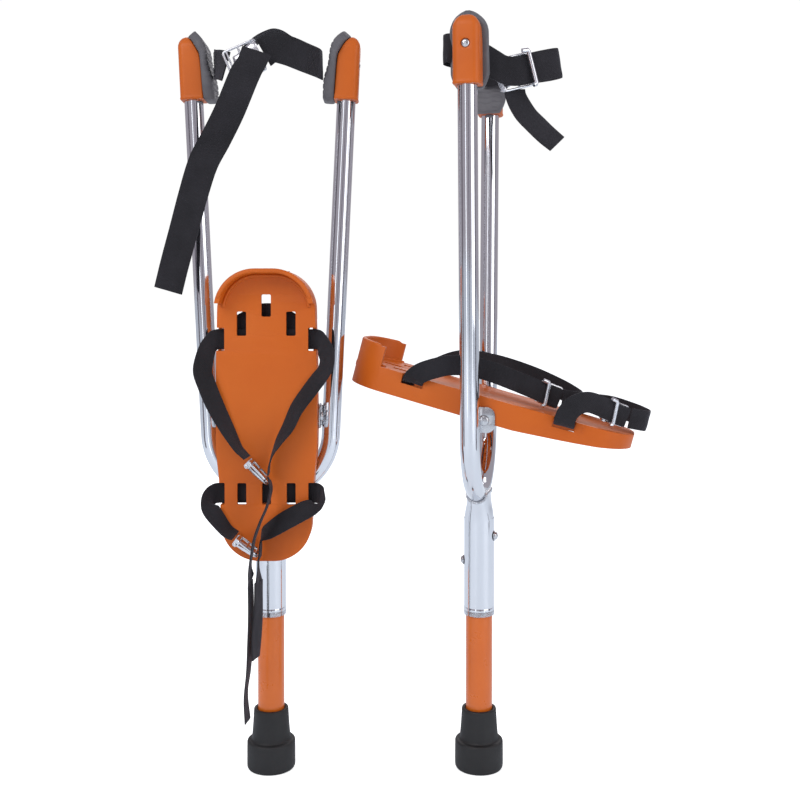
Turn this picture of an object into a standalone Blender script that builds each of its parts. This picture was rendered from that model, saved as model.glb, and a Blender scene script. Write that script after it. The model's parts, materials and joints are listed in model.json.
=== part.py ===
"""A pair of strap-on spring stilts, one object for each sub-part.

Units: the dimensions below are millimetres and are scaled to metres when a
mesh is made. Each stilt is modelled in its own frame: x across the leg,
-y to the toe, +z up, origin at the centre of the rubber tip's ground face.
"""
import math

import bmesh
import bpy
from mathutils import Matrix, Vector

MM = 0.001

# ---------------------------------------------------------------- dimensions
SHIFT_X = -26.642            # centres the pair on the frame's origin
SHIFT_Y = 0.0
LEFT_X = -107.0           # where the two stilts stand
RIGHT_X = 107.0
LEFT_YAW = 0.0
RIGHT_YAW = 77.0          # degrees, toe turned to +X
LEFT_TILT = -90.0         # foot plate hanging toe down
RIGHT_TILT = -14.9

TUBE_R = 9.525            # 3/4 inch yoke tube
TUBE_WALL = 1.5
BEND_R = 61.8
BEND_Z = 283.5            # centre line at the bottom of the bend
SPLAY = math.radians(2.7)
TUBE_TOP = 726.0

LEG_R = 13.55
LEG_WALL = 1.6
LEG_TOP = 228.0
SLEEVE_R = 15.5
SLEEVE_BORE_R = 14.0
SLEEVE_Z0 = 163.0
SLEEVE_TOP = 284.0
SPRING_BOLT_Z = 239.0
GUIDE_BOLT_Z = 213.0
PLUNGE = 20.0
BOLT_R = 3.0

TIP_R = 24.65
PIVOT_Y = -12.0
PIVOT_Z = 362.5
AXLE_R = 3.5

PLATE_HEEL = -148.0
PLATE_TOE = 142.0
FLOOR_TOP = 22.5
FLOOR_BOTTOM = 19.0
SKIRT_BOTTOM = -2.0
CUP_TOP = 42.5
PLATE_WALL = 3.6

CAP_Z0 = 683.0
CAP_HALF_X = 12.0
CAP_HALF_Y = 13.1
CAP_LEN = 65.0

GAP = 0.3

# -------------------------------------------------------------------- set-up
for _ob in list(bpy.data.objects):
    bpy.data.objects.remove(_ob, do_unlink=True)

PARTS = bpy.data.collections.new("spring_stilt_pair")
CUTTERS = bpy.data.collections.new("cutters")
bpy.context.scene.collection.children.link(PARTS)
bpy.context.scene.collection.children.link(CUTTERS)


def material(name, colour, rough, metal):
    mat = bpy.data.materials.new(name)
    mat.use_nodes = True
    bsdf = mat.node_tree.nodes["Principled BSDF"]
    bsdf.inputs["Base Color"].default_value = (*colour, 1.0)
    bsdf.inputs["Roughness"].default_value = rough
    bsdf.inputs["Metallic"].default_value = metal
    mat.diffuse_color = (*colour, 1.0)
    return mat


COLOURS = {
    "chrome": ((0.72, 0.74, 0.78), 0.12, 1.0),
    "steel": ((0.62, 0.63, 0.65), 0.28, 1.0),
    "orange_plastic": ((0.66, 0.16, 0.025), 0.42, 0.0),
    "orange_paint": ((0.66, 0.16, 0.025), 0.3, 0.0),
    "pad_grey": ((0.11, 0.11, 0.125), 0.6, 0.0),
    "rubber": ((0.02, 0.02, 0.022), 0.65, 0.0),
    "webbing": ((0.012, 0.012, 0.013), 0.8, 0.0),
    "spring_steel": ((0.35, 0.36, 0.38), 0.35, 1.0),
}


def mat_for(name, kind):
    colour, rough, metal = COLOURS[kind]
    return material(name + "_" + kind, colour, rough, metal)


def empty(name, parent=None, matrix=None):
    ob = bpy.data.objects.new(name, None)
    ob.empty_display_size = 0.03
    PARTS.objects.link(ob)
    ob.parent = parent
    ob.matrix_local = matrix or Matrix.Identity(4)
    return ob


def place(name, bm, parent, kind=None, matrix=None, smooth=True):
    """Link a bmesh (already in metres) as a part, or as a cutter if kind is None."""
    bmesh.ops.recalc_face_normals(bm, faces=bm.faces)
    if bm.calc_volume(signed=True) < 0:
        bmesh.ops.reverse_faces(bm, faces=bm.faces)
    me = bpy.data.meshes.new(name)
    bm.to_mesh(me)
    bm.free()
    ob = bpy.data.objects.new(name, me)
    if kind is None:
        CUTTERS.objects.link(ob)
        ob.hide_render = True
        ob.display_type = 'WIRE'
    else:
        PARTS.objects.link(ob)
        me.materials.append(mat_for(name, kind))
        if smooth:
            me.shade_smooth()
            me.set_sharp_from_angle(angle=math.radians(35))
    ob.parent = parent
    ob.matrix_local = matrix or Matrix.Identity(4)
    return ob


def cut(ob, cutter, op='DIFFERENCE'):
    mod = ob.modifiers.new("cut_" + cutter.name[:20], 'BOOLEAN')
    mod.operation = op
    mod.solver = 'EXACT'
    mod.object = cutter
    return mod


def bevel(ob, width, segments=2, angle=40):
    mod = ob.modifiers.new("edge_round", 'BEVEL')
    mod.width = width * MM
    mod.segments = segments
    mod.limit_method = 'ANGLE'
    mod.angle_limit = math.radians(angle)
    return mod


# ------------------------------------------------------------ shape builders
def bm_box(lo, hi):
    bm = bmesh.new()
    bmesh.ops.create_cube(bm, size=1.0)
    size = [(hi[i] - lo[i]) * MM for i in range(3)]
    mid = [(hi[i] + lo[i]) * 0.5 * MM for i in range(3)]
    bmesh.ops.scale(bm, vec=size, verts=bm.verts)
    bmesh.ops.translate(bm, vec=mid, verts=bm.verts)
    return bm


def bm_cyl(p0, p1, r0, r1=None, seg=16):
    """Cylinder or cone between two points."""
    p0, p1 = Vector(p0), Vector(p1)
    axis = p1 - p0
    bm = bmesh.new()
    bmesh.ops.create_cone(bm, cap_ends=True, segments=seg, radius1=r0 * MM,
                          radius2=(r0 if r1 is None else r1) * MM, depth=axis.length * MM)
    rot = axis.to_track_quat('Z', 'Y').to_matrix().to_4x4()
    bm.transform(Matrix.Translation((p0 + p1) * 0.5 * MM) @ rot)
    return bm


def merged(*bms):
    out = bmesh.new()
    for bm in bms:
        me = bpy.data.meshes.new("tmp")
        bm.to_mesh(me)
        bm.free()
        out.from_mesh(me)
        bpy.data.meshes.remove(me)
    return out


def bm_tube(points, r, res=5, cyclic=False):
    """Mesh of a round wire or rod that follows the points."""
    cu = bpy.data.curves.new("path", 'CURVE')
    cu.dimensions = '3D'
    cu.bevel_depth = r * MM
    cu.bevel_resolution = res
    cu.use_fill_caps = True
    cu.render_resolution_u = 0
    sp = cu.splines.new('POLY')
    sp.points.add(len(points) - 1)
    for i, p in enumerate(points):
        sp.points[i].co = (p[0] * MM, p[1] * MM, p[2] * MM, 1.0)
    sp.use_cyclic_u = cyclic
    return bm_from_curve(cu)


def bm_from_curve(cu):
    ob = bpy.data.objects.new("path", cu)
    bpy.context.scene.collection.objects.link(ob)
    dg = bpy.context.evaluated_depsgraph_get()
    me = bpy.data.meshes.new_from_object(ob.evaluated_get(dg))
    bm = bmesh.new()
    bm.from_mesh(me)
    bmesh.ops.remove_doubles(bm, verts=bm.verts, dist=1e-7)
    bpy.data.objects.remove(ob, do_unlink=True)
    bpy.data.curves.remove(cu)
    bpy.data.meshes.remove(me)
    return bm


def bm_outline(loops, half, frame):
    """Flat outline (first loop) with holes, extruded by half each way.

    frame maps the outline's (u, v, 0) plane to the part's frame.
    """
    cu = bpy.data.curves.new("outline", 'CURVE')
    cu.dimensions = '2D'
    cu.fill_mode = 'BOTH'
    cu.extrude = half * MM
    cu.render_resolution_u = 0
    for loop in loops:
        sp = cu.splines.new('POLY')
        sp.points.add(len(loop) - 1)
        for i, p in enumerate(loop):
            sp.points[i].co = (p[0] * MM, p[1] * MM, 0.0, 1.0)
        sp.use_cyclic_u = True
    bm = bm_from_curve(cu)
    bm.transform(frame)
    return bm


def axes_matrix(xdir, ydir, zdir, origin=(0, 0, 0)):
    m = Matrix.Identity(4)
    for i, v in enumerate((xdir, ydir, zdir)):
        v = Vector(v)
        for r in range(3):
            m[r][i] = v[r]
    for r in range(3):
        m[r][3] = origin[r] * MM
    return m


def frame_at(origin, xdir, zdir):
    """Frame with X along xdir and Z as near as may be to zdir."""
    x = Vector(xdir).normalized()
    z = Vector(zdir)
    z = (z - x * z.dot(x)).normalized()
    return axes_matrix(x, z.cross(x), z, origin)


PLANE_XZ = axes_matrix((1, 0, 0), (0, 0, 1), (0, -1, 0))    # u=x, v=z
PLANE_YZ = axes_matrix((0, 1, 0), (0, 0, 1), (1, 0, 0))     # u=y, v=z


def rounded_rect(cx, cy, w, h, r, n=3):
    pts = []
    for qx, qy, a0 in ((1, 1, 0), (-1, 1, 90), (-1, -1, 180), (1, -1, 270)):
        ox, oy = cx + qx * (w / 2 - r), cy + qy * (h / 2 - r)
        for i in range(n + 1):
            a = math.radians(a0 + 90 * i / n)
            pts.append((ox + r * math.cos(a), oy + r * math.sin(a)))
    return pts


def smooth_path(points, steps):
    """Catmull-Rom through the points; each point may carry any number of values."""
    pts = [list(p) for p in points]
    ext = [[2 * a - b for a, b in zip(pts[0], pts[1])]] + pts + \
          [[2 * a - b for a, b in zip(pts[-1], pts[-2])]]
    out = []
    for i in range(1, len(ext) - 2):
        p0, p1, p2, p3 = ext[i - 1], ext[i], ext[i + 1], ext[i + 2]
        for s in range(steps):
            t = s / steps
            out.append([0.5 * (2 * b + (c - a) * t + (2 * a - 5 * b + 4 * c - d) * t * t
                               + (3 * b - a - 3 * c + d) * t ** 3)
                        for a, b, c, d in zip(p0, p1, p2, p3)])
    out.append(pts[-1])
    return out


def webbing(name, parent, stations, width, thick=1.6, steps=2, matrix=None, end_taper=0.0):
    """Flat strap: an open strip along the stations, given thickness by Solidify.

    A station is (x, y, z, wx, wy, wz): a centre and the direction of the width.
    """
    path = smooth_path(stations, steps)
    bm = bmesh.new()
    rows = []
    for p in path:
        c = Vector(p[:3])
        w = Vector(p[3:6]).normalized() * (width / 2)
        rows.append([bm.verts.new((c - w) * MM), bm.verts.new((c + w) * MM)])
    for a, b in zip(rows, rows[1:]):
        bm.faces.new((a[0], a[1], b[1], b[0]))
    me = bpy.data.meshes.new(name)
    bm.to_mesh(me)
    bm.free()
    me.materials.append(mat_for(name, "webbing"))
    ob = bpy.data.objects.new(name, me)
    PARTS.objects.link(ob)
    ob.parent = parent
    ob.matrix_local = matrix or Matrix.Identity(4)
    mod = ob.modifiers.new("thickness", 'SOLIDIFY')
    mod.thickness = thick * MM
    mod.offset = 0.0
    mod.use_even_offset = False
    return ob


# ------------------------------------------------------------------- geometry
BEND_CZ = BEND_Z + BEND_R


def arm_x(z):
    """Half distance between the yoke arms' centre lines at height z."""
    return BEND_R * math.cos(SPLAY) + (z - BEND_CZ + BEND_R * math.sin(SPLAY)) * math.tan(SPLAY)


def yoke_points(top, segments=18):
    pts = [(-arm_x(top), 0, top)]
    for i in range(segments + 1):
        a = math.radians(180) + SPLAY + (math.pi - 2 * SPLAY) * i / segments
        pts.append((BEND_R * math.cos(a), 0, BEND_CZ + BEND_R * math.sin(a)))
    pts.append((arm_x(top), 0, top))
    return pts


def arm_frame(side):
    """Frame at the bottom of a grip cap; z up the arm, x away from the leg."""
    z = Vector((side * math.sin(SPLAY), 0, math.cos(SPLAY)))
    x = Vector((side * math.cos(SPLAY), 0, -math.sin(SPLAY)))
    y = z.cross(x)
    return axes_matrix(x, y, z, (side * arm_x(CAP_Z0), 0, CAP_Z0))


def build_yoke(pre, unit):
    ob = place(pre + "yoke_tube", bm_tube(yoke_points(TUBE_TOP), TUBE_R, 5), unit, "chrome")
    inner = place(pre + "yoke_bore", bm_tube(yoke_points(TUBE_TOP + 8), TUBE_R - TUBE_WALL, 3), unit)
    cut(ob, inner)
    for side, tag in ((-1, "a"), (1, "b")):
        fr = arm_frame(side)
        hole = place(pre + "yoke_screw_hole_" + tag,
                     bm_cyl((0, 0, 37), (15, 0, 37), 2.1, seg=8), unit, matrix=fr)
        cut(ob, hole)
    return ob


def ring(z, hx, hy, n, seg):
    """One rounded section of the sleeve, a superellipse with exponent n."""
    pts = []
    for i in range(seg):
        a = 2 * math.pi * (i + 0.5) / seg
        c, s = math.cos(a), math.sin(a)
        pts.append((hx * math.copysign(abs(c) ** (2 / n), c),
                    hy * math.copysign(abs(s) ** (2 / n), s), z))
    return pts


def build_sleeve(pre, unit):
    seg = 24
    rings = [ring(SLEEVE_Z0, SLEEVE_R, SLEEVE_R, 2, seg),
             ring(252, SLEEVE_R, SLEEVE_R, 2, seg),
             ring(262, 16.4, 14.6, 2.1, seg),
             ring(271, 18.6, 12.6, 2.3, seg),
             ring(278, 20.0, 11.6, 2.6, seg),
             ring(SLEEVE_TOP, 20.4, 11.2, 2.8, seg)]
    bm = bmesh.new()
    rows = [[bm.verts.new(Vector(p) * MM) for p in r] for r in rings]
    for a, b in zip(rows, rows[1:]):
        for i in range(seg):
            j = (i + 1) % seg
            bm.faces.new((a[i], a[j], b[j], b[i]))
    bm.faces.new(list(reversed(rows[0])))
    bm.faces.new(rows[-1])
    ob = place(pre + "sleeve", bm, unit, "chrome")
    bore = place(pre + "sleeve_bore", merged(bm_cyl((0, 0, SLEEVE_Z0 - 5), (0, 0, 252), SLEEVE_BORE_R, seg=24)), unit)
    cut(ob, bore)
    saddle = place(pre + "sleeve_saddle", bm_tube(yoke_points(420), TUBE_R + GAP + 0.1, 5), unit)
    cut(ob, saddle)
    holes = place(pre + "sleeve_bolt_holes", merged(
        bm_cyl((0, -20, SPRING_BOLT_Z), (0, -5, SPRING_BOLT_Z), BOLT_R + GAP, seg=12),
        bm_cyl((0, 5, GUIDE_BOLT_Z), (0, 20, GUIDE_BOLT_Z), BOLT_R + GAP, seg=12)), unit)
    cut(ob, holes)
    return ob


def build_bolt(name, unit, z, toe_side, reach):
    """Button-head bolt through one wall of the sleeve."""
    s = -1 if toe_side else 1
    y_face = SLEEVE_R + GAP
    bm = merged(bm_cyl((0, s * reach, z), (0, s * (y_face + 0.4), z), BOLT_R, seg=12))
    ob = place(name, bm, unit, "steel")
    head = place(name + "_head", bm_cyl((0, s * y_face, z), (0, s * (y_face + 2.9), z), 4.4, 3.0, seg=12), unit)
    cut(ob, head, 'UNION')
    return ob


def lathe(name, profile, unit, kind, seg=24):
    """Turned part: the profile is (radius, z) down the outside and up the inside."""
    me = bpy.data.meshes.new(name)
    verts = [(r * MM, 0, z * MM) for r, z in profile]
    n = len(verts)
    me.from_pydata(verts, [(i, (i + 1) % n) for i in range(n)], [])
    me.materials.append(mat_for(name, kind))
    ob = bpy.data.objects.new(name, me)
    PARTS.objects.link(ob)
    ob.parent = unit
    mod = ob.modifiers.new("turn", 'SCREW')
    mod.steps = seg
    mod.render_steps = seg
    mod.use_merge_vertices = True
    mod.merge_threshold = 0.00001
    mod.use_normal_calculate = True
    return ob


def build_leg(pre, leg):
    zb = 14.0 + GAP
    ob = lathe(pre + "leg_tube", [(LEG_R, LEG_TOP), (LEG_R, zb), (LEG_R - LEG_WALL, zb),
                                  (LEG_R - LEG_WALL, LEG_TOP)], leg, "orange_paint", 24)
    notch = place(pre + "leg_notch", bm_box((-BOLT_R - 0.4, -20, LEG_TOP - PLUNGE + 5.5),
                                            (BOLT_R + 0.4, -5, LEG_TOP + 5)), leg)
    slot = place(pre + "leg_slot", bm_outline(
        [rounded_rect(0, GUIDE_BOLT_Z - PLUNGE / 2, 2 * (BOLT_R + GAP), PLUNGE + 2 * (BOLT_R + GAP), 3.2)],
        8, PLANE_XZ @ Matrix.Translation((0, 0, -13 * MM))), leg)
    cut(ob, notch)
    cut(ob, slot)
    lathe(pre + "foot_tip", [(TIP_R - 1.2, 0), (LEG_R * 0 + 6.0, 0), (6.0, 2.0), (LEG_R * 0 + 4.0, 2.0),
                             (4.0, 14.0), (LEG_R + GAP, 14.0), (LEG_R + GAP, 61.0), (17.0, 61.0),
                             (17.8, 60.0), (18.0, 56.0), (19.8, 29.8), (21.2, 29.0), (TIP_R, 28.0),
                             (TIP_R, 1.2)][::-1], leg, "rubber", 20)
    place(pre + "leg_plug", bm_cyl((0, 0, 160), (0, 0, 170), LEG_R - LEG_WALL - GAP, seg=16), leg, "rubber")
    turns, per = 6, 9
    z0, z1 = 171.9, 234.2
    pts = []
    for i in range(turns * per + 1):
        a = 2 * math.pi * i / per
        pts.append((9.6 * math.cos(a), 9.6 * math.sin(a), z0 + (z1 - z0) * i / (turns * per)))
    place(pre + "spring", bm_tube(pts, 1.4, 1), leg, "spring_steel")


PAD_INNER = [(71.0, -5.0), (55.0, -16.5), (34.0, -19.5), (18.0, -23.0), (-1.0, -23.3)]
PAD_BACK = [(65.0, 2.5), (58.0, -3.5), (50.0, -8.0), (44.0, -10.6), (32.0, -11.4), (-1.0, -12.3)]


def build_head(pre, unit, side, tag):
    """Grip cap, its screw and the calf pad on one arm."""
    fr = arm_frame(side)
    stadium = [(-CAP_HALF_Y, 0), (CAP_HALF_Y, 0)]
    zc = CAP_LEN - CAP_HALF_Y
    for i in range(13):
        a = math.pi * i / 12
        stadium.append((CAP_HALF_Y * math.cos(a), zc + CAP_HALF_Y * math.sin(a)))
    ob = place(pre + "grip_cap_" + tag, bm_outline([stadium], CAP_HALF_X, PLANE_YZ), unit,
               "orange_plastic", matrix=fr)
    bevel(ob, 3.0, 2)
    cut(ob, place(pre + "cap_bore_" + tag, bm_cyl((0, 0, -5), (0, 0, 43.6), TUBE_R + GAP + 0.15, seg=16),
                  unit, matrix=fr))
    loop = [(-40, 80), (6, 80)] + [(x + GAP, z + GAP) for z, x in PAD_BACK] + [(-12.0, -8), (-40, -8)]
    cut(ob, place(pre + "cap_pad_seat_" + tag, bm_outline([loop], 30, PLANE_XZ), unit, matrix=fr))
    cut(ob, place(pre + "cap_screw_seat_" + tag, merged(
        bm_cyl((10.9, 0, 37), (15, 0, 37), 4.5, seg=12)), unit, matrix=fr))
    cut(ob, place(pre + "cap_screw_hole_" + tag, merged(
        bm_cyl((6, 0, 37), (15, 0, 37), 2.1, seg=8)), unit, matrix=fr))
    screw = place(pre + "cap_screw_" + tag, bm_cyl((6.5, 0, 37), (11.5, 0, 37), 1.7, seg=8),
                  unit, "steel", matrix=fr)
    cut(screw, place(pre + "cap_screw_head_" + tag,
                     bm_cyl((11.2, 0, 37), (12.3, 0, 37), 4.1, 3.4, seg=12), unit, matrix=fr), 'UNION')
    prof = [(x, z) for z, x in PAD_INNER] + [(x, z) for z, x in reversed(PAD_BACK)]
    pad = place(pre + "calf_pad_" + tag, bm_outline([prof], 18.5, PLANE_XZ), unit, "pad_grey", matrix=fr)
    bevel(pad, 1.6, 1, 50)


def build_bracket(name, unit, side):
    x0, x1 = side * 50.75, side * 52.15
    prof = rounded_rect(-10.0, 363.0, 26.0, 25.0, 8.0)
    fr = PLANE_YZ.copy()
    fr.translation = Vector(((x0 + x1) / 2 * MM, 0, 0))
    ob = place(name, bm_outline([prof], abs(x1 - x0) / 2, fr), unit, "steel")
    cut(ob, place(name + "_hole", bm_cyl((side * 45, PIVOT_Y, PIVOT_Z), (side * 58, PIVOT_Y, PIVOT_Z),
                                         AXLE_R + GAP, seg=16), unit))
    return ob


def plate_half_width(t):
    """Half width of the foot plate along its length."""
    knots = [(-148, 48.0), (-100, 48.6), (-60, 49.8), (-30, 50.2), (30, 50.2), (60, 47.4),
             (90, 45.6), (142, 43.8)]
    for (t0, w0), (t1, w1) in zip(knots, knots[1:]):
        if t <= t1:
            u = (t - t0) / (t1 - t0)
            w = w0 + (w1 - w0) * u
            break
    else:
        w = knots[-1][1]
    return w


def plate_outline(inset, heel=PLATE_HEEL, toe=PLATE_TOE):
    """Plan of the foot plate as (x, t), drawn in by inset."""
    right = []
    rh, rt = 40.0 - inset, 38.0 - inset
    h, e = heel + inset, toe - inset
    for i in range(8):
        a = math.radians(90 - 90 * i / 7)
        w = plate_half_width(h + rh) - inset
        right.append((w - rh + rh * math.cos(a), h + rh - rh * math.sin(a)))
    for t in (-60, -30, 30, 60, 90):
        right.append((plate_half_width(t) - inset, t))
    for i in range(8):
        a = math.radians(90 * i / 7)
        w = plate_half_width(e - rt) - inset
        right.append((w - rt + rt * math.cos(a), e - rt + rt * math.sin(a)))
    left = [(-x, t) for x, t in reversed(right)]
    return right + left


def extrude_plan(loops, n0, n1):
    """Plan loops (x, t) raised from n0 to n1 in the plate frame (x, -t, n)."""
    fr = axes_matrix((1, 0, 0), (0, -1, 0), (0, 0, -1), (0, 0, (n0 + n1) / 2))
    return bm_outline(loops, (n1 - n0) / 2, fr)


def build_plate(pre, plate):
    ob = place(pre + "footplate", extrude_plan([plate_outline(0)], SKIRT_BOTTOM, CUP_TOP), plate,
               "orange_plastic")
    cut(ob, place(pre + "plate_above_floor", bm_box((-70, -200, FLOOR_TOP), (70, 114, 60)), plate))
    cut(ob, place(pre + "plate_heel_hollow", extrude_plan([plate_outline(4.6)], FLOOR_TOP, 60), plate))
    cut(ob, place(pre + "plate_under_hollow", extrude_plan([plate_outline(PLATE_WALL)], -20, FLOOR_BOTTOM), plate))
    wedge = [(22, SKIRT_BOTTOM - 0.4), (70, 0.8), (110, 4.6), (130, 7.4), (150, 11), (150, -20), (22, -20)]
    wplane = axes_matrix((0, -1, 0), (0, 0, 1), (-1, 0, 0))
    cut(ob, place(pre + "plate_toe_rise", bm_outline([wedge], 70, wplane), plate))
    slots = []
    for x, t, w, ln in ((0, -112, 9.5, 22), (-24.5, -94, 9.5, 24), (24.5, -94, 9.5, 24),
                        (0, 75, 9.0, 21.5), (-24.5, 75, 9.0, 21.5), (24.5, 75, 9.0, 21.5)):
        slots.append(extrude_plan([rounded_rect(x, t, w, ln, 1.5, 1)], 12.5, 30))
    for x in (-1, 1):
        for t0, t1 in ((-90, -67), (64, 86)):
            xa, xb = sorted((x * 40.5, x * 62.0))
            slots.append(bm_box((xa, -t1, 12.5), (xb, -t0, 30)))
    cut(ob, place(pre + "plate_slots", merged(*slots), plate))
    boss = place(pre + "plate_boss", merged(bm_box((-49.9, -9, -7), (-45.2, 9, 20.5)),
                                            bm_box((45.2, -9, -7), (49.9, 9, 20.5))), plate)
    cut(ob, boss, 'UNION')
    cut(ob, place(pre + "plate_axle_hole", bm_cyl((-60, 0, 0), (60, 0, 0), AXLE_R + GAP, seg=16), plate))
    return ob


def build_axle(pre, unit):
    y, z = PIVOT_Y, PIVOT_Z
    ob = place(pre + "pivot_axle", bm_cyl((-52.8, y, z), (52.8, y, z), AXLE_R, seg=16), unit, "steel")
    heads = place(pre + "axle_heads", merged(bm_cyl((-55.0, y, z), (-52.5, y, z), 5.2, seg=16),
                                             bm_cyl((52.5, y, z), (55.0, y, z), 5.2, seg=16)), unit)
    cut(ob, heads, 'UNION')


def build_buckle(pre, parent, origin, xdir, zdir, length, width, lever_len):
    """Strap buckle: a flat frame with two windows, and a lever on a cross pin.

    X runs along the strap and Z away from what the strap lies on.
    """
    fr = frame_at(origin, xdir, zdir)
    w, ln = width, length
    bar = 2.6
    window = (ln - 3 * bar) / 2
    loops = [rounded_rect(0, 0, ln, w, 2.5, 2),
             rounded_rect(-(window + bar) / 2, 0, window, w - 2 * bar, 0.8, 1),
             rounded_rect((window + bar) / 2, 0, window, w - 2 * bar, 0.8, 1)]
    place(pre + "buckle_frame", bm_outline(loops, 0.9, Matrix.Identity(4)), parent, "steel", matrix=fr)
    pivot = Vector((ln / 2 - bar / 2, 0, 4.3))
    lever_frame = fr @ Matrix.Translation(pivot * MM)
    side = [(-2.6, -1.6), (0, -2.4), (2.6, -1.6), (3.0, 0.4), (1.2, 2.6), (-lever_len * 0.35, 1.8),
            (-lever_len * 0.8, 0.9), (-lever_len, -0.6), (-lever_len, -2.0), (-lever_len * 0.8, -0.5),
            (-lever_len * 0.35, 0.3)]
    place(pre + "buckle_lever", bm_outline([side], (w - 2 * bar - 2) / 2, PLANE_XZ), parent, "steel",
          matrix=lever_frame)


# ------------------------------------------------------------- strap routes
# A station is centre x, y, z and then the direction of the strap's width.
UNDER = 15.8              # height of a strap where it runs under the plate's floor

LEFT_CALF_SHORT = [(-54.5, -8, 719, 0, 0, 1), (-52.0, -22, 715, 0, 0, 1), (-45.0, -34, 712, 0, 0.05, 1),
                   (-37.5, -43.5, 708, 0.2, 0, 1)]
LEFT_CALF = [(-0.5, -43.5, 721, -0.2, 0, 1), (9.0, -46, 726, -0.1, 0, 1), (23.0, -46, 723, 0.1, 0, 1),
             (38.6, -40, 718, 0.12, 0, 1), (50.3, -27, 716, 0.1, 0, 1), (54.0, -10, 717, 0, 0, 1)]
LEFT_CALF_TAIL = [(-22.0, -59, 686, 0.9, 0, 0.45), (-31.5, -56, 664, 0.9, 0, 0.42), (-45.5, -52, 637, 0.91, 0, 0.4),
                  (-59.4, -47, 613, 0.93, -0.05, 0.36), (-71.0, -40, 581, 0.93, -0.1, 0.32),
                  (-83.0, -33, 545, 0.95, -0.12, 0.25), (-91.6, -28, 516, 0.97, -0.1, 0.15),
                  (-99.3, -24, 488, 0.98, -0.1, 0.1)]
RIGHT_CALF_SHORT = [(-54.0, 8, 717, 0, 0, 1), (-52.5, -8, 714.5, 0, 0.02, 1), (-46.5, -21, 708.5, 0, 0.08, 1),
                    (-38.5, -32, 704, 0, 0.12, 1), (-31.5, -43, 704.5, -0.05, 0.2, 1), (-25.0, -54.5, 708.0, -0.1, 0.25, 1)]
RIGHT_CALF = [(-7.0, -80.5, 716.0, -0.1, 0.15, 1), (6.0, -75, 717, 0, 0.1, 1), (22.0, -62, 719, 0, 0.05, 1),
              (37.0, -43, 721, 0, 0, 1), (48.0, -22, 723, 0, 0, 1), (52.5, -8, 724, 0, 0, 1), (54.0, 4, 724, 0, 0, 1)]
RIGHT_CALF_TAIL = [(-22.5, -39.5, 682, 0.75, -0.6, 0.2), (-21.5, -43.5, 673, 0.72, -0.64, 0.26),
                   (-20.0, -50, 663, 0.7, -0.62, 0.35), (-19.0, -59, 653.5, 0.68, -0.5, 0.5),
                   (-18.0, -69, 643.5, 0.68, -0.4, 0.6), (-17.0, -80, 634, 0.7, -0.32, 0.64)]


# the free ends hang plumb from a line just past the toe of the left plate
TAIL_Y = -38.0
TAIL_Z = 206.0
ANKLE_TAIL = [(-14.0, -10.0, -2.0, 0.1, 1.0, 0.0), (-13.8, -10.0, -25.0, 0.12, 1.0, 0.0), (-14.4, -10.0, -60.0, 0.15, 1.0, 0.0),
              (-16.0, -10.0, -90.0, 0.1, 1.0, 0.0), (-18.8, -10.0, -114.0, 0.05, 1.0, 0.0), (-17.2, -10.0, -140.0, 0.15, 1.0, 0.0)]
TOE_TAIL = [(-6.0, -10.0, -2.0, 0.3, 0.95, 0.0), (-6.2, -10.0, -26.0, 0.33, 0.94, 0.0), (-7.8, -10.0, -53.0, 0.4, 0.9, 0.0),
            (-9.0, -10.0, -78.0, 0.25, 0.96, 0.0)]


def left_ankle():
    a = [(-17.0, -37.0, 36.5, -0.1, -0.08, 1), (-21.5, -32.5, 36, -0.12, -0.1, 0.99), (-26.4, -27.0, 35.5, -0.18, -0.14, 0.97),
         (-38.0, -6.5, 34.5, -0.48, -0.25, 0.82), (-48.4, 14.0, 34.5, -0.64, -0.3, 0.66), (-56.4, 33.0, 34, -0.75, -0.12, 0.6),
         (-61.0, 47.0, 33, -0.78, 0.12, 0.5), (-59.5, 60.0, 30, -0.55, 0.6, 0.35), (-57.0, 70.0, 25.5, -0.2, 0.95, 0.1),
         (-53.2, 76.5, 20, 0, 1, 0), (-49.0, 78.5, 16.8, 0, 1, 0)]
    mid = [(x, 78.5, UNDER, 0, 1, 0) for x in (-44.5, -22, 0, 22, 44.5)]
    b = [(49.0, 78.5, 16.8, 0, 1, 0), (53.2, 77.0, 20.5, 0, 1, 0), (57.5, 71.0, 26, 0.2, 0.95, 0.1), (61.0, 61.0, 30, 0.55, 0.6, 0.35),
         (59.5, 50.0, 33, 0.72, 0.15, 0.5), (52.5, 40.0, 34.5, 0.68, -0.25, 0.6), (43.0, 27.5, 35, 0.6, -0.38, 0.65),
         (32.0, 12.0, 35, 0.58, -0.36, 0.72), (23.5, -6.0, 35, 0.55, -0.25, 0.78), (14.5, -20.0, 35.5, 0.35, -0.17, 0.92),
         (8.4, -32.0, 36, 0.15, -0.06, 0.98), (5.2, -43.0, 36.5, 0.08, -0.02, 1), (4.1, -53.0, 36.5, 0.06, 0, 1)]
    return a + mid + b


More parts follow.
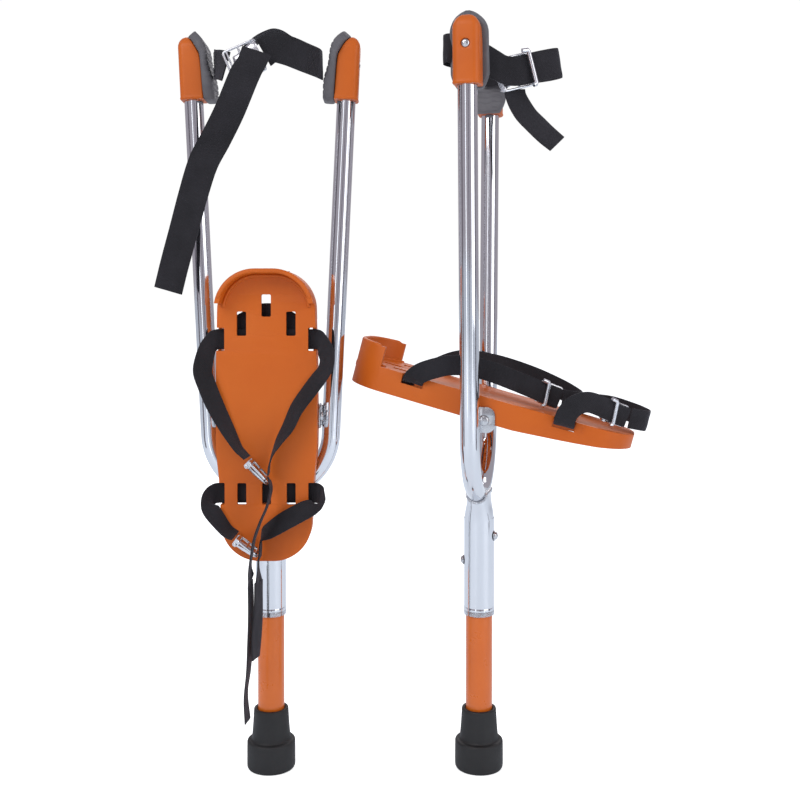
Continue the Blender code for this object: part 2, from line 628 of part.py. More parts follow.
def left_toe():
    a = [(-28.6, -113.4, 36.5, -0.15, -0.2, 0.97), (-32.5, -112.0, 36, -0.2, -0.28, 0.94), (-38.0, -108.0, 35.5, -0.28, -0.33, 0.9),
         (-46.0, -98.0, 35, -0.42, -0.42, 0.8), (-53.0, -88.5, 33.5, -0.55, -0.35, 0.75), (-56.3, -81.5, 29.5, -0.5, 0.35, 0.75),
         (-55.5, -77.5, 25, -0.25, 0.9, 0.35), (-52.0, -75.3, 19.8, 0, 1, 0), (-48.6, -75.0, 16.8, 0, 1, 0)]
    mid = [(x, -75.0, UNDER, 0, 1, 0) for x in (-43.5, -22, 0, 22, 43.5)]
    b = [(48.6, -75.0, 16.8, 0, 1, 0), (52.0, -75.3, 20, 0, 1, 0), (55.0, -77.5, 25, 0.2, 0.95, 0.2), (54.0, -82.0, 30.5, 0.55, 0.45, 0.7),
         (51.0, -84.5, 33, 0.6, -0.1, 0.8), (46.5, -86.0, 34.5, 0.5, -0.5, 0.7), (38.5, -89.0, 35.5, 0.44, -0.7, 0.56),
         (19.0, -99.5, 36, 0.44, -0.7, 0.56), (6.5, -107.5, 36, 0.38, -0.58, 0.72), (0.5, -111.5, 36, 0.3, -0.45, 0.84)]
    return a + mid + b


def right_ankle():
    # near notch is on the -x side
    a = [(-14.0, -63.5, 36.5, 0, 0.05, 1), (-19.0, -52.0, 38.0, 0, 0.05, 1), (-26.5, -36.0, 41.0, 0, 0.05, 1),
         (-35.0, -14.0, 44.5, 0, 0.05, 1), (-41.5, 8.0, 47.0, 0, 0.1, 1), (-47.5, 28.0, 47.0, -0.1, 0.25, 0.95),
         (-53.0, 46.0, 43.0, -0.2, 0.5, 0.8), (-55.8, 60.0, 36.0, -0.15, 0.8, 0.5), (-56.0, 71.0, 28.5, -0.05, 1, 0.15),
         (-53.6, 77.0, 21.5, 0, 1, 0), (-48.6, 78.5, 16.6, 0, 1, 0)]
    mid = [(x, 78.5, UNDER, 0, 1, 0) for x in (-44.5, -22, 0, 22, 44.5)]
    b = [(48.6, 78.5, 16.6, 0, 1, 0), (52.6, 78.5, 20.0, 0, 1, 0), (55.5, 72.0, 30.0, 0, 1, 0.2),
         (54.0, 50.0, 43.0, 0.2, 0.7, 0.7), (48.0, 15.0, 48.0, 0.3, 0.3, 0.9), (40.0, -25.0, 47.0, 0.2, 0.1, 1),
         (28.0, -58.0, 43.0, 0.1, 0, 1), (14.0, -77.0, 39.5, 0, 0, 1), (3.0, -82.0, 38.5, 0, 0, 1)]
    return a + mid + b


def right_toe():
    a = [(-20.0, -131.0, 37.5, 0, 0.05, 1), (-27.0, -120.0, 39.5, 0, 0.05, 1), (-37.0, -105.0, 43.0, 0, 0.1, 1),
         (-46.0, -92.0, 44.5, -0.1, 0.3, 0.95), (-52.5, -82.5, 40.0, -0.2, 0.75, 0.62), (-54.8, -77.0, 32.5, -0.05, 1, 0.15),
         (-54.2, -75.2, 25.5, 0, 1, 0), (-51.4, -75.0, 19.5, 0, 1, 0), (-47.6, -75.0, 16.6, 0, 1, 0)]
    mid = [(x, -75.0, UNDER, 0, 1, 0) for x in (-43.5, -22, 0, 22, 43.5)]
    b = [(47.6, -75.0, 16.6, 0, 1, 0), (51.4, -75.0, 19.5, 0, 1, 0), (54.0, -78.0, 27.0, 0, 1, 0.1),
         (50.0, -90.0, 34.0, 0, 0.8, 0.6), (40.0, -112.0, 39.0, 0, 0.2, 1), (24.0, -136.0, 39.5, 0, 0.0, 1),
         (9.0, -148.5, 39.0, 0, 0, 1), (-2.0, -151.0, 38.5, 0, 0, 1)]
    return a + mid + b


# ----------------------------------------------------------------- assembly
def build_unit(pre, x, yaw, tilt):
    m = Matrix.Translation(((x + SHIFT_X) * MM, SHIFT_Y * MM, 0)) @ Matrix.Rotation(math.radians(yaw), 4, 'Z')
    unit = empty(pre + "stilt_frame", None, m)
    leg = empty(pre + "leg_slide", unit)
    plate = empty(pre + "plate_pivot", unit,
                  Matrix.Translation((0, PIVOT_Y * MM, PIVOT_Z * MM)) @ Matrix.Rotation(math.radians(-tilt), 4, 'X'))
    build_yoke(pre, unit)
    build_sleeve(pre, unit)
    build_bolt(pre + "spring_bolt", unit, SPRING_BOLT_Z, True, -8.0)
    build_bolt(pre + "guide_bolt", unit, GUIDE_BOLT_Z, False, 12.3)
    build_leg(pre, leg)
    for side, tag in ((-1, "a"), (1, "b")):
        build_head(pre, unit, side, tag)
        build_bracket(pre + "hinge_bracket_" + tag, unit, side)
    build_axle(pre, unit)
    build_plate(pre, plate)
    return unit, plate


left, left_plate = build_unit("left_", LEFT_X, LEFT_YAW, LEFT_TILT)
tails = empty("left_tails_pivot", left, Matrix.Translation((0, TAIL_Y * MM, TAIL_Z * MM)))
right, right_plate = build_unit("right_", RIGHT_X, RIGHT_YAW, RIGHT_TILT)

webbing("left_calf_strap_short", left, LEFT_CALF_SHORT, 29, steps=2)
webbing("left_calf_strap", left, LEFT_CALF, 29, steps=2)
webbing("left_calf_strap_tail", left, LEFT_CALF_TAIL, 29, steps=2)
build_buckle("left_calf_", left, (-19.6, -47, 712.2), (0.915, 0, 0.4), (0, -1, 0), 34, 34, 25)
webbing("right_calf_strap_short", right, RIGHT_CALF_SHORT, 29, steps=2)
webbing("right_calf_strap", right, RIGHT_CALF, 29, steps=2)
webbing("right_calf_strap_tail", right, RIGHT_CALF_TAIL, 29, steps=2)
build_buckle("right_calf_", right, (-29.1, -39.8, 704.0), (-0.5, 0.82, -0.28), (0.85, 0.52, 0), 34, 34, 25)

webbing("left_ankle_strap", left_plate, left_ankle(), 20, steps=2)
build_buckle("left_ankle_", left_plate, (-5.6, -48.9, 36.5), (-0.68, 0.73, 0), (-0.73, -0.68, 0), 24, 23, 28)
webbing("left_toe_strap", left_plate, left_toe(), 20, steps=2)
build_buckle("left_toe_", left_plate, (-16.4, -123.1, 36.5), (-0.79, 0.61, 0), (-0.61, -0.79, 0), 24, 23, 25)
webbing("left_ankle_strap_tail", tails, ANKLE_TAIL, 18, steps=2)
webbing("left_toe_strap_tail", tails, TOE_TAIL, 18, steps=2)
webbing("right_ankle_strap", right_plate, right_ankle(), 20, steps=2)
build_buckle("right_ankle_", right_plate, (-14.6, -52.6, 38.0), (-0.42, 0.9, 0.12), (0.9, 0.42, 0), 24, 23, 20)
webbing("right_toe_strap", right_plate, right_toe(), 20, steps=2)
build_buckle("right_toe_", right_plate, (-22.7, -119.7, 38.5), (-0.55, 0.83, 0.1), (0.83, 0.55, 0), 24, 23, 20)
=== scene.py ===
import json
import math

import bmesh
import bpy
import numpy as np
from mathutils import Matrix, Vector, noise

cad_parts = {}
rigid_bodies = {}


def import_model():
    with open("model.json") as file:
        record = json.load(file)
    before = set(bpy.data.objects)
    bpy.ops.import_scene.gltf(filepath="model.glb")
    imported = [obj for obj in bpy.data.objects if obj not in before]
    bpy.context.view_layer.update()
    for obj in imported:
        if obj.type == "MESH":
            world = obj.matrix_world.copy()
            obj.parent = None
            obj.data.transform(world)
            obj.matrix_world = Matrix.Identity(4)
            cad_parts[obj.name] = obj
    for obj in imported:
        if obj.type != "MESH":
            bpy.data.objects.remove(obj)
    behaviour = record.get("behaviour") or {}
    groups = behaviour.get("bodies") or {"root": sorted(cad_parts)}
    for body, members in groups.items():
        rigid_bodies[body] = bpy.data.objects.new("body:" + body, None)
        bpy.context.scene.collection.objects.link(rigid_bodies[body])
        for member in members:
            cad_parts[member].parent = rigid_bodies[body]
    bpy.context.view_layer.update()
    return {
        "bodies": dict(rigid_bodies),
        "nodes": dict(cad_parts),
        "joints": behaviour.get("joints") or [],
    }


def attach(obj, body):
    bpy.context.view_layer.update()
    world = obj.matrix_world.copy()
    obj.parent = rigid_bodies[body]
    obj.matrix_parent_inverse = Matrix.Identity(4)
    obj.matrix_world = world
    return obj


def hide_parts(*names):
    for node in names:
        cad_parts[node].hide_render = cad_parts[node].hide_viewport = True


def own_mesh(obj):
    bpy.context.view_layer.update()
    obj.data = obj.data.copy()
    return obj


for _o in list(bpy.data.objects):
    bpy.data.objects.remove(_o, do_unlink=True)

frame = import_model()
MM = 0.001
BODIES = frame["bodies"]
JOINT = {j["name"]: j for j in frame["joints"]}

# ------------------------------------------------------------ design constants
TUBE_R, TUBE_WALL = 9.525, 1.5
BEND_R, BEND_Z = 61.8, 283.5
BEND_CZ = BEND_Z + BEND_R
SPLAY = math.radians(2.7)
TUBE_TOP = 726.0
CAP_Z0 = 683.0
PIVOT = (0.0, -12.0, 362.5)
LEG_R = 13.55
SLEEVE_R = 15.5
FLOOR_TOP, FLOOR_BOTTOM, CUP_TOP, SKIRT_BOTTOM = 22.5, 19.0, 42.5, -2.0


def yaw_of(pre):
    ax = JOINT[pre + "plate_tilt"]["axis"]
    return math.atan2(-ax[1], -ax[0])


def unit_matrix(pre):
    """Stilt frame: the plate's hinge is at (0, -12, 362.5) mm in it."""
    p = Vector(JOINT[pre + "plate_tilt"]["pos_m"])
    rot = Matrix.Rotation(yaw_of(pre), 4, 'Z')
    off = rot @ Vector((0, PIVOT[1] * MM, PIVOT[2] * MM))
    return Matrix.Translation(p - off) @ rot


TILT = {"left_": 90.0, "right_": 14.9}
UNIT = {pre: unit_matrix(pre) for pre in ("left_", "right_")}
PLATE = {pre: UNIT[pre] @ Matrix.Translation(Vector(PIVOT) * MM) @ Matrix.Rotation(math.radians(TILT[pre]), 4, 'X')
         for pre in ("left_", "right_")}


def arm_x(z):
    return BEND_R * math.cos(SPLAY) + (z - BEND_CZ + BEND_R * math.sin(SPLAY)) * math.tan(SPLAY)


def axes(x, y, z, o=(0, 0, 0)):
    m = Matrix.Identity(4)
    for i, v in enumerate((x, y, z)):
        for r in range(3):
            m[r][i] = v[r]
    for r in range(3):
        m[r][3] = o[r] * MM
    return m


def frame_at(origin, xdir, zdir):
    x = Vector(xdir).normalized()
    z = Vector(zdir)
    z = (z - x * z.dot(x)).normalized()
    return axes(x, z.cross(x), z, origin)


def arm_frame(side):
    z = Vector((side * math.sin(SPLAY), 0, math.cos(SPLAY)))
    x = Vector((side * math.cos(SPLAY), 0, -math.sin(SPLAY)))
    return axes(x, z.cross(x), z, (side * arm_x(CAP_Z0), 0, CAP_Z0))


PLANE_XZ = axes((1, 0, 0), (0, 0, 1), (0, -1, 0))
PLANE_YZ = axes((0, 1, 0), (0, 0, 1), (1, 0, 0))


# ------------------------------------------------------------------ materials
class Nodes:
    """Small helper for building a node tree."""

    def __init__(self, name):
        self.mat = bpy.data.materials.new(name)
        self.mat.use_nodes = True
        self.t = self.mat.node_tree
        self.bsdf = self.t.nodes["Principled BSDF"]
        self.coord = self.t.nodes.new("ShaderNodeTexCoord")

    def add(self, kind, **kw):
        n = self.t.nodes.new(kind)
        for k, v in kw.items():
            if hasattr(n, k):
                setattr(n, k, v)
            else:
                n.inputs[k].default_value = v
        return n

    def link(self, a, b):
        self.t.links.new(a, b)

    def set(self, **kw):
        for k, v in kw.items():
            self.bsdf.inputs[k.replace("_", " ")].default_value = v

    def noise(self, scale, detail=4.0, rough=0.55, src=None, stretch=None):
        n = self.add("ShaderNodeTexNoise")
        n.inputs["Scale"].default_value = scale
        n.inputs["Detail"].default_value = detail
        n.inputs["Roughness"].default_value = rough
        s = src or self.coord.outputs["Object"]
        if stretch:
            m = self.add("ShaderNodeMapping")
            m.inputs["Scale"].default_value = stretch
            self.link(s, m.inputs["Vector"])
            s = m.outputs["Vector"]
        self.link(s, n.inputs["Vector"])
        return n.outputs["Fac"]

    def ramp(self, fac, stops):
        r = self.add("ShaderNodeValToRGB")
        el = r.color_ramp.elements
        while len(el) < len(stops):
            el.new(0.5)
        for e, (p, c) in zip(el, stops):
            e.position = p
            e.color = (*c, 1.0) if len(c) == 3 else c
        self.link(fac, r.inputs["Fac"])
        return r.outputs["Color"]

    def range(self, fac, lo, hi, a=0.0, b=1.0):
        m = self.add("ShaderNodeMapRange")
        for k, v in (("From Min", a), ("From Max", b), ("To Min", lo), ("To Max", hi)):
            m.inputs[k].default_value = v
        self.link(fac, m.inputs["Value"])
        return m.outputs["Result"]

    def math(self, op, a, b=None):
        m = self.add("ShaderNodeMath", operation=op)
        for i, v in enumerate((a, b)):
            if v is None:
                continue
            if isinstance(v, (int, float)):
                m.inputs[i].default_value = v
            else:
                self.link(v, m.inputs[i])
        return m.outputs[0]

    def bump(self, height, strength, dist=0.001, normal=None):
        b = self.add("ShaderNodeBump")
        b.inputs["Strength"].default_value = strength
        b.inputs["Distance"].default_value = dist
        self.link(height, b.inputs["Height"])
        if normal:
            self.link(normal, b.inputs["Normal"])
        return b.outputs["Normal"]

    def out(self, name, src):
        self.link(src, self.bsdf.inputs[name])


def mat_chrome(name="chrome_plate", base=(0.80, 0.815, 0.85), lo=0.05, hi=0.12):
    n = Nodes(name)
    n.set(Metallic=1.0)
    col = n.ramp(n.noise(14.0, 3.0), [(0.25, tuple(c * 0.93 for c in base)), (0.8, base)])
    n.out("Base Color", col)
    scratch = n.noise(900.0, 2.0, 0.6, stretch=(1.0, 1.0, 0.02))
    cloud = n.noise(35.0, 4.0, 0.6)
    n.out("Roughness", n.math('ADD', n.range(cloud, lo, hi, 0.3, 0.75), n.range(scratch, 0.0, 0.03, 0.55, 0.8)))
    b = n.bump(n.noise(18.0, 2.0), 0.05, 0.0006)
    n.out("Normal", n.bump(scratch, 0.03, 0.0001, b))
    return n.mat


def mat_steel(name="plated_steel", base=(0.66, 0.67, 0.69), lo=0.18, hi=0.34):
    n = Nodes(name)
    n.set(Metallic=1.0)
    col = n.ramp(n.noise(260.0, 5.0), [(0.3, tuple(c * 0.93 for c in base)), (0.7, base)])
    n.out("Base Color", col)
    n.out("Roughness", n.range(n.noise(180.0, 4.0), lo, hi, 0.3, 0.7))
    n.out("Normal", n.bump(n.noise(700.0, 3.0), 0.04, 0.0001))
    return n.mat


def mat_orange_plastic():
    n = Nodes("orange_moulded_plastic")
    base, deep, light = (0.565, 0.112, 0.008), (0.50, 0.094, 0.006), (0.60, 0.130, 0.011)
    col = n.ramp(n.noise(9.0, 5.0, 0.6), [(0.25, deep), (0.5, base), (0.8, light)])
    n.out("Base Color", col)
    grain = n.noise(1500.0, 3.0, 0.6)
    n.out("Roughness", n.range(n.noise(30.0, 5.0, 0.65), 0.36, 0.50, 0.3, 0.7))
    n.set(Subsurface_Weight=0.0)
    n.bsdf.inputs["Specular IOR Level"].default_value = 0.30
    n.out("Normal", n.bump(grain, 0.16, 0.00025, n.bump(n.noise(22.0, 2.0), 0.05, 0.001)))
    return n.mat


def mat_orange_paint():
    n = Nodes("orange_powder_coat")
    col = n.ramp(n.noise(14.0, 4.0), [(0.3, (0.60, 0.118, 0.007)), (0.7, (0.66, 0.142, 0.010))])
    n.out("Base Color", col)
    n.out("Roughness", n.range(n.noise(60.0, 4.0), 0.26, 0.36, 0.3, 0.7))
    n.bsdf.inputs["Coat Weight"].default_value = 0.25
    n.bsdf.inputs["Coat Roughness"].default_value = 0.15
    n.out("Normal", n.bump(n.noise(420.0, 3.0), 0.10, 0.0003))
    return n.mat


def mat_pad():
    n = Nodes("grey_pad_rubber")
    col = n.ramp(n.noise(60.0, 5.0, 0.65), [(0.3, (0.092, 0.088, 0.100)), (0.7, (0.130, 0.125, 0.138))])
    n.out("Base Color", col)
    n.out("Roughness", n.range(n.noise(90.0, 4.0), 0.55, 0.72, 0.3, 0.7))
    n.out("Normal", n.bump(n.noise(1300.0, 3.0, 0.7), 0.3, 0.0003))
    return n.mat


def mat_rubber():
    n = Nodes("black_tip_rubber")
    dust = n.noise(45.0, 6.0, 0.7)
    col = n.ramp(dust, [(0.35, (0.008, 0.008, 0.009)), (0.62, (0.014, 0.014, 0.015)), (0.85, (0.030, 0.029, 0.029))])
    n.out("Base Color", col)
    n.out("Roughness", n.range(dust, 0.45, 0.75, 0.3, 0.7))
    n.out("Normal", n.bump(n.noise(900.0, 4.0, 0.7), 0.25, 0.0004))
    return n.mat


def mat_webbing(name="black_webbing", tint=(0.0105, 0.0100, 0.0125)):
    """Woven tape. The weave follows the strap through its UV map, in millimetres."""
    n = Nodes(name)
    uv = n.add("ShaderNodeUVMap")
    uv.uv_map = "UVMap"
    sep = n.add("ShaderNodeSeparateXYZ")
    n.link(uv.outputs["UV"], sep.inputs[0])
    u, v = sep.outputs[0], sep.outputs[1]
    k = 2 * math.pi
    # ribs of the warp across the width, picks of the weft along the length
    warp = n.math('SINE', n.math('MULTIPLY', u, k / 1.25))
    row = n.math('FLOOR', n.math('DIVIDE', u, 1.25))
    shift = n.math('MULTIPLY', n.math('MODULO', n.math('ABSOLUTE', row), 2.0), math.pi)
    weft = n.math('SINE', n.math('ADD', n.math('MULTIPLY', v, k / 1.7), shift))
    height = n.math('ADD', n.math('MULTIPLY', warp, 0.35), n.math('MULTIPLY', weft, 0.65))
    fuzz = n.noise(2.4, 4.0, 0.7, src=uv.outputs["UV"])
    worn = n.noise(28.0, 5.0, 0.6)
    light = tuple(c * 2.3 for c in tint)
    # painted shade: the colour ramp lightens the raised weave and darkens its grooves; the worn noise adds random tone
    # on top
    col = n.ramp(n.math('ADD', n.math('MULTIPLY', height, 0.16), n.math('MULTIPLY', worn, 0.9)),
                 [(0.25, tint), (0.75, light)])
    n.out("Base Color", col)
    n.set(Roughness=0.82)
    n.bsdf.inputs["Specular IOR Level"].default_value = 0.28
    n.bsdf.inputs["Sheen Weight"].default_value = 0.22
    n.bsdf.inputs["Sheen Roughness"].default_value = 0.45
    n.bsdf.inputs["Sheen Tint"].default_value = (0.55, 0.52, 0.62, 1.0)
    n.out("Normal", n.bump(fuzz, 0.10, 0.0004, n.bump(height, 0.55, 0.00035)))
    return n.mat


def mat_thread():
    n = Nodes("stitch_thread")
    n.out("Base Color", n.ramp(n.noise(600.0, 3.0), [(0.3, (0.020, 0.019, 0.022)), (0.7, (0.045, 0.043, 0.05))]))
    n.set(Roughness=0.6)
    n.out("Normal", n.bump(n.noise(3000.0, 2.0), 0.3, 0.0002))
    return n.mat


def mat_weld():
    n = Nodes("weld_bead")
    n.set(Metallic=1.0)
    n.out("Base Color", n.ramp(n.noise(300.0, 5.0), [(0.3, (0.42, 0.42, 0.44)), (0.7, (0.74, 0.75, 0.78))]))
    n.out("Roughness", n.range(n.noise(250.0, 4.0), 0.14, 0.34, 0.3, 0.7))
    n.out("Normal", n.bump(n.noise(500.0, 4.0, 0.7), 0.08, 0.0003))
    return n.mat


M = {
    "chrome": mat_chrome(),
    "steel": mat_steel(),
    "buckle": mat_chrome("buckle_plate", (0.78, 0.79, 0.82), 0.20, 0.34),
    "spring": mat_steel("spring_wire", (0.36, 0.37, 0.39), 0.25, 0.4),
    "plastic": mat_orange_plastic(),
    "paint": mat_orange_paint(),
    "pad": mat_pad(),
    "rubber": mat_rubber(),
    "webbing": mat_webbing(),
    "thread": mat_thread(),
    "weld": mat_weld(),
}


# ---------------------------------------------------------------- mesh helpers
def put(name, bm, mat, body, matrix=None, replaces=(), smooth=35, uv=None):
    """Turn a bmesh in millimetres into a piece in the row frame, riding on a body."""
    bmesh.ops.recalc_face_normals(bm, faces=bm.faces)
    if bm.calc_volume(signed=True) < 0:
        bmesh.ops.reverse_faces(bm, faces=bm.faces)
    bmesh.ops.scale(bm, vec=(MM, MM, MM), verts=bm.verts)
    if matrix is not None:
        bm.transform(matrix)
    me = bpy.data.meshes.new(name)
    bm.to_mesh(me)
    bm.free()
    me.materials.append(M[mat])
    me.shade_smooth()
    if smooth:
        me.set_sharp_from_angle(angle=math.radians(smooth))
    ob = bpy.data.objects.new(name, me)
    bpy.context.scene.collection.objects.link(ob)
    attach(ob, body)
    if replaces:
        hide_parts(*replaces)
    return ob


def join(*bms):
    out = bmesh.new()
    for bm in bms:
        me = bpy.data.meshes.new("t")
        bm.to_mesh(me)
        bm.free()
        out.from_mesh(me)
        bpy.data.meshes.remove(me)
    return out


def loft(rings, closed=False, caps=True):
    bm = bmesh.new()
    rows = [[bm.verts.new(p) for p in r] for r in rings]
    n = len(rows[0])
    pairs = list(zip(rows, rows[1:])) + ([(rows[-1], rows[0])] if closed else [])
    for a, b in pairs:
        for i in range(n):
            j = (i + 1) % n
            bm.faces.new((a[i], a[j], b[j], b[i]))
    if caps and not closed:
        bm.faces.new(list(reversed(rows[0])))
        bm.faces.new(rows[-1])
    return bm


def frames_along(pts, closed=False):
    """Rotation-minimising frames: list of (point, normal, binormal)."""
    P = [Vector(p) for p in pts]
    n = len(P)
    T = []
    for i in range(n):
        if closed:
            t = P[(i + 1) % n] - P[i - 1]
        else:
            t = P[min(i + 1, n - 1)] - P[max(i - 1, 0)]
        T.append(t.normalized())
    ref = Vector((0, 1, 0)) if abs(T[0].y) < 0.9 else Vector((1, 0, 0))
    N = (ref - T[0] * ref.dot(T[0])).normalized()
    out = []
    for i in range(n):
        if i:
            N = (N - T[i] * N.dot(T[i])).normalized()
        out.append((P[i], N.copy(), T[i].cross(N)))
    return out


def tube(pts, r, seg=16, closed=False, caps=True, radius=None):
    rings = []
    fr = frames_along(pts, closed)
    for i, (p, n, b) in enumerate(fr):
        rr = radius(i / (len(fr) - 1)) if radius else r
        rings.append([p + n * (rr * math.cos(2 * math.pi * k / seg)) + b * (rr * math.sin(2 * math.pi * k / seg))
                      for k in range(seg)])
    return loft(rings, closed, caps)


def pipe(pts, r_out, r_in, seg=48):
    """Open-ended hollow tube as one closed solid."""
    fr = frames_along(pts)
    outer, inner = [], []
    for p, n, b in fr:
        outer.append([p + n * (r_out * math.cos(2 * math.pi * k / seg)) + b * (r_out * math.sin(2 * math.pi * k / seg)) for k in range(seg)])
        inner.append([p + n * (r_in * math.cos(2 * math.pi * k / seg)) + b * (r_in * math.sin(2 * math.pi * k / seg)) for k in range(seg)])
    return loft(outer + inner[::-1], closed=True)


def lathe(profile, seg=64, closed=True, axis='Z'):
    """Turn a closed (radius, z) profile about Z; radius 0 points are merged."""
    rings = []
    for r, z in profile:
        rings.append([(r * math.cos(2 * math.pi * k / seg), r * math.sin(2 * math.pi * k / seg), z) for k in range(seg)])
    bm = loft(rings, closed=closed, caps=not closed)
    bmesh.ops.remove_doubles(bm, verts=bm.verts, dist=1e-4)
    return bm


def solid_lathe(profile, seg=48):
    """Profile from the axis, out and back to the axis."""
    bm = bmesh.new()
    rows = []
    for r, z in profile:
        if r < 1e-6:
            rows.append([bm.verts.new((0, 0, z))])
        else:
            rows.append([bm.verts.new((r * math.cos(2 * math.pi * k / seg), r * math.sin(2 * math.pi * k / seg), z)) for k in range(seg)])
    for a, b in zip(rows, rows[1:]):
        for i in range(seg):
            j = (i + 1) % seg
            if len(a) == 1 and len(b) > 1:
                bm.faces.new((a[0], b[j], b[i]))
            elif len(b) == 1 and len(a) > 1:
                bm.faces.new((a[i], a[j], b[0]))
            elif len(a) > 1:
                bm.faces.new((a[i], a[j], b[j], b[i]))
    return bm


def round_profile(pts, r, n=4):
    """Rounds the corners of a closed 2D outline by radius r (a number or one per corner)."""
    out = []
    m = len(pts)
    for i in range(m):
        p0, p, p1 = Vector(pts[i - 1]), Vector(pts[i]), Vector(pts[(i + 1) % m])
        rr = r[i] if isinstance(r, (list, tuple)) else r
        a, b = (p0 - p), (p1 - p)
        if rr <= 0 or a.length < 1e-6 or b.length < 1e-6:
            out.append(tuple(p))
            continue
        ang = a.angle(b)
        if ang > math.radians(177):
            out.append(tuple(p))
            continue
        d = min(rr / math.tan(ang / 2), a.length * 0.48, b.length * 0.48)
        s, e = p + a.normalized() * d, p + b.normalized() * d
        for k in range(n + 1):
            t = k / n
            q = s * (1 - t) ** 2 + p * 2 * t * (1 - t) + e * t ** 2
            out.append(tuple(q))
    return out


def plan(loops, half, matrix):
    """Flat outline with holes, extruded by half each way, as a bmesh in mm."""
    cu = bpy.data.curves.new("outline", 'CURVE')
    cu.dimensions = '2D'
    cu.fill_mode = 'BOTH'
    cu.extrude = half
    for lp in loops:
        sp = cu.splines.new('POLY')
        sp.points.add(len(lp) - 1)
        for i, p in enumerate(lp):
            sp.points[i].co = (p[0], p[1], 0, 1)
        sp.use_cyclic_u = True
    ob = bpy.data.objects.new("outline", cu)
    bpy.context.scene.collection.objects.link(ob)
    dg = bpy.context.evaluated_depsgraph_get()
    me = bpy.data.meshes.new_from_object(ob.evaluated_get(dg))
    bm = bmesh.new()
    bm.from_mesh(me)
    bmesh.ops.remove_doubles(bm, verts=bm.verts, dist=1e-4)
    bpy.data.objects.remove(ob, do_unlink=True)
    bpy.data.curves.remove(cu)
    bpy.data.meshes.remove(me)
    m = matrix.copy()
    m.translation = m.translation / MM
    bm.transform(m)
    return outward(bm)


def outward(bm):
    bmesh.ops.recalc_face_normals(bm, faces=bm.faces)
    if bm.calc_volume(signed=True) < 0:
        bmesh.ops.reverse_faces(bm, faces=bm.faces)
    return bm


def box(lo, hi):
    bm = bmesh.new()
    bmesh.ops.create_cube(bm, size=1.0)
    bmesh.ops.scale(bm, vec=[hi[i] - lo[i] for i in range(3)], verts=bm.verts)
    bmesh.ops.translate(bm, vec=[(hi[i] + lo[i]) / 2 for i in range(3)], verts=bm.verts)
    return bm


def cyl(p0, p1, r, seg=32, r1=None):
    p0, p1 = Vector(p0), Vector(p1)
    d = p1 - p0
    bm = bmesh.new()
    bmesh.ops.create_cone(bm, cap_ends=True, segments=seg, radius1=r, radius2=r if r1 is None else r1, depth=d.length)
    bm.transform(Matrix.Translation((p0 + p1) / 2) @ d.to_track_quat('Z', 'Y').to_matrix().to_4x4())
    return bm


def rrect(cx, cy, w, h, r, n=6):
    pts = []
    for qx, qy, a0 in ((1, 1, 0), (-1, 1, 90), (-1, -1, 180), (1, -1, 270)):
        for i in range(n + 1):
            a = math.radians(a0 + 90 * i / n)
            pts.append((cx + qx * (w / 2 - r) + r * math.cos(a), cy + qy * (h / 2 - r) + r * math.sin(a)))
    return pts


def solve(bm, steps):
    """Apply a list of modifiers: ('-', bm), ('+', bm) or ('bevel', width, segments, angle)."""
    sc = bpy.context.scene.collection
    tmp = []

    def obj(b, name):
        me = bpy.data.meshes.new(name)
        outward(b)
        bmesh.ops.scale(b, vec=(MM, MM, MM), verts=b.verts)
        b.to_mesh(me)
        b.free()
        o = bpy.data.objects.new(name, me)
        sc.objects.link(o)
        tmp.append(o)
        return o
    ob = obj(bm, "solve")
    for st in steps:
        if st[0] in '+-':
            m = ob.modifiers.new("b", 'BOOLEAN')
            m.operation = 'UNION' if st[0] == '+' else 'DIFFERENCE'
            m.solver = 'EXACT'
            m.object = obj(st[1], "cutter")
        else:
            m = ob.modifiers.new("v", 'BEVEL')
            m.width = st[1] * MM
            m.segments = st[2]
            m.limit_method = 'ANGLE'
            m.angle_limit = math.radians(st[3])
            m.use_clamp_overlap = True
            m.harden_normals = False
    dg = bpy.context.evaluated_depsgraph_get()
    me = bpy.data.meshes.new_from_object(ob.evaluated_get(dg))
    out = bmesh.new()
    out.from_mesh(me)
    bpy.data.meshes.remove(me)
    for o in tmp:
        d = o.data
        bpy.data.objects.remove(o, do_unlink=True)
        bpy.data.meshes.remove(d)
    bmesh.ops.scale(out, vec=(1 / MM, 1 / MM, 1 / MM), verts=out.verts)
    return out


def catmull(points, steps):
    pts = [list(p) for p in points]
    ext = [[2 * a - b for a, b in zip(pts[0], pts[1])]] + pts + [[2 * a - b for a, b in zip(pts[-1], pts[-2])]]
    out = []
    for i in range(1, len(ext) - 2):
        p0, p1, p2, p3 = ext[i - 1], ext[i], ext[i + 1], ext[i + 2]
        for s in range(steps):
            t = s / steps
            out.append([0.5 * (2 * b + (c - a) * t + (2 * a - 5 * b + 4 * c - d) * t * t + (3 * b - a - 3 * c + d) * t ** 3)
                        for a, b, c, d in zip(p0, p1, p2, p3)])
    out.append(pts[-1])
    return out


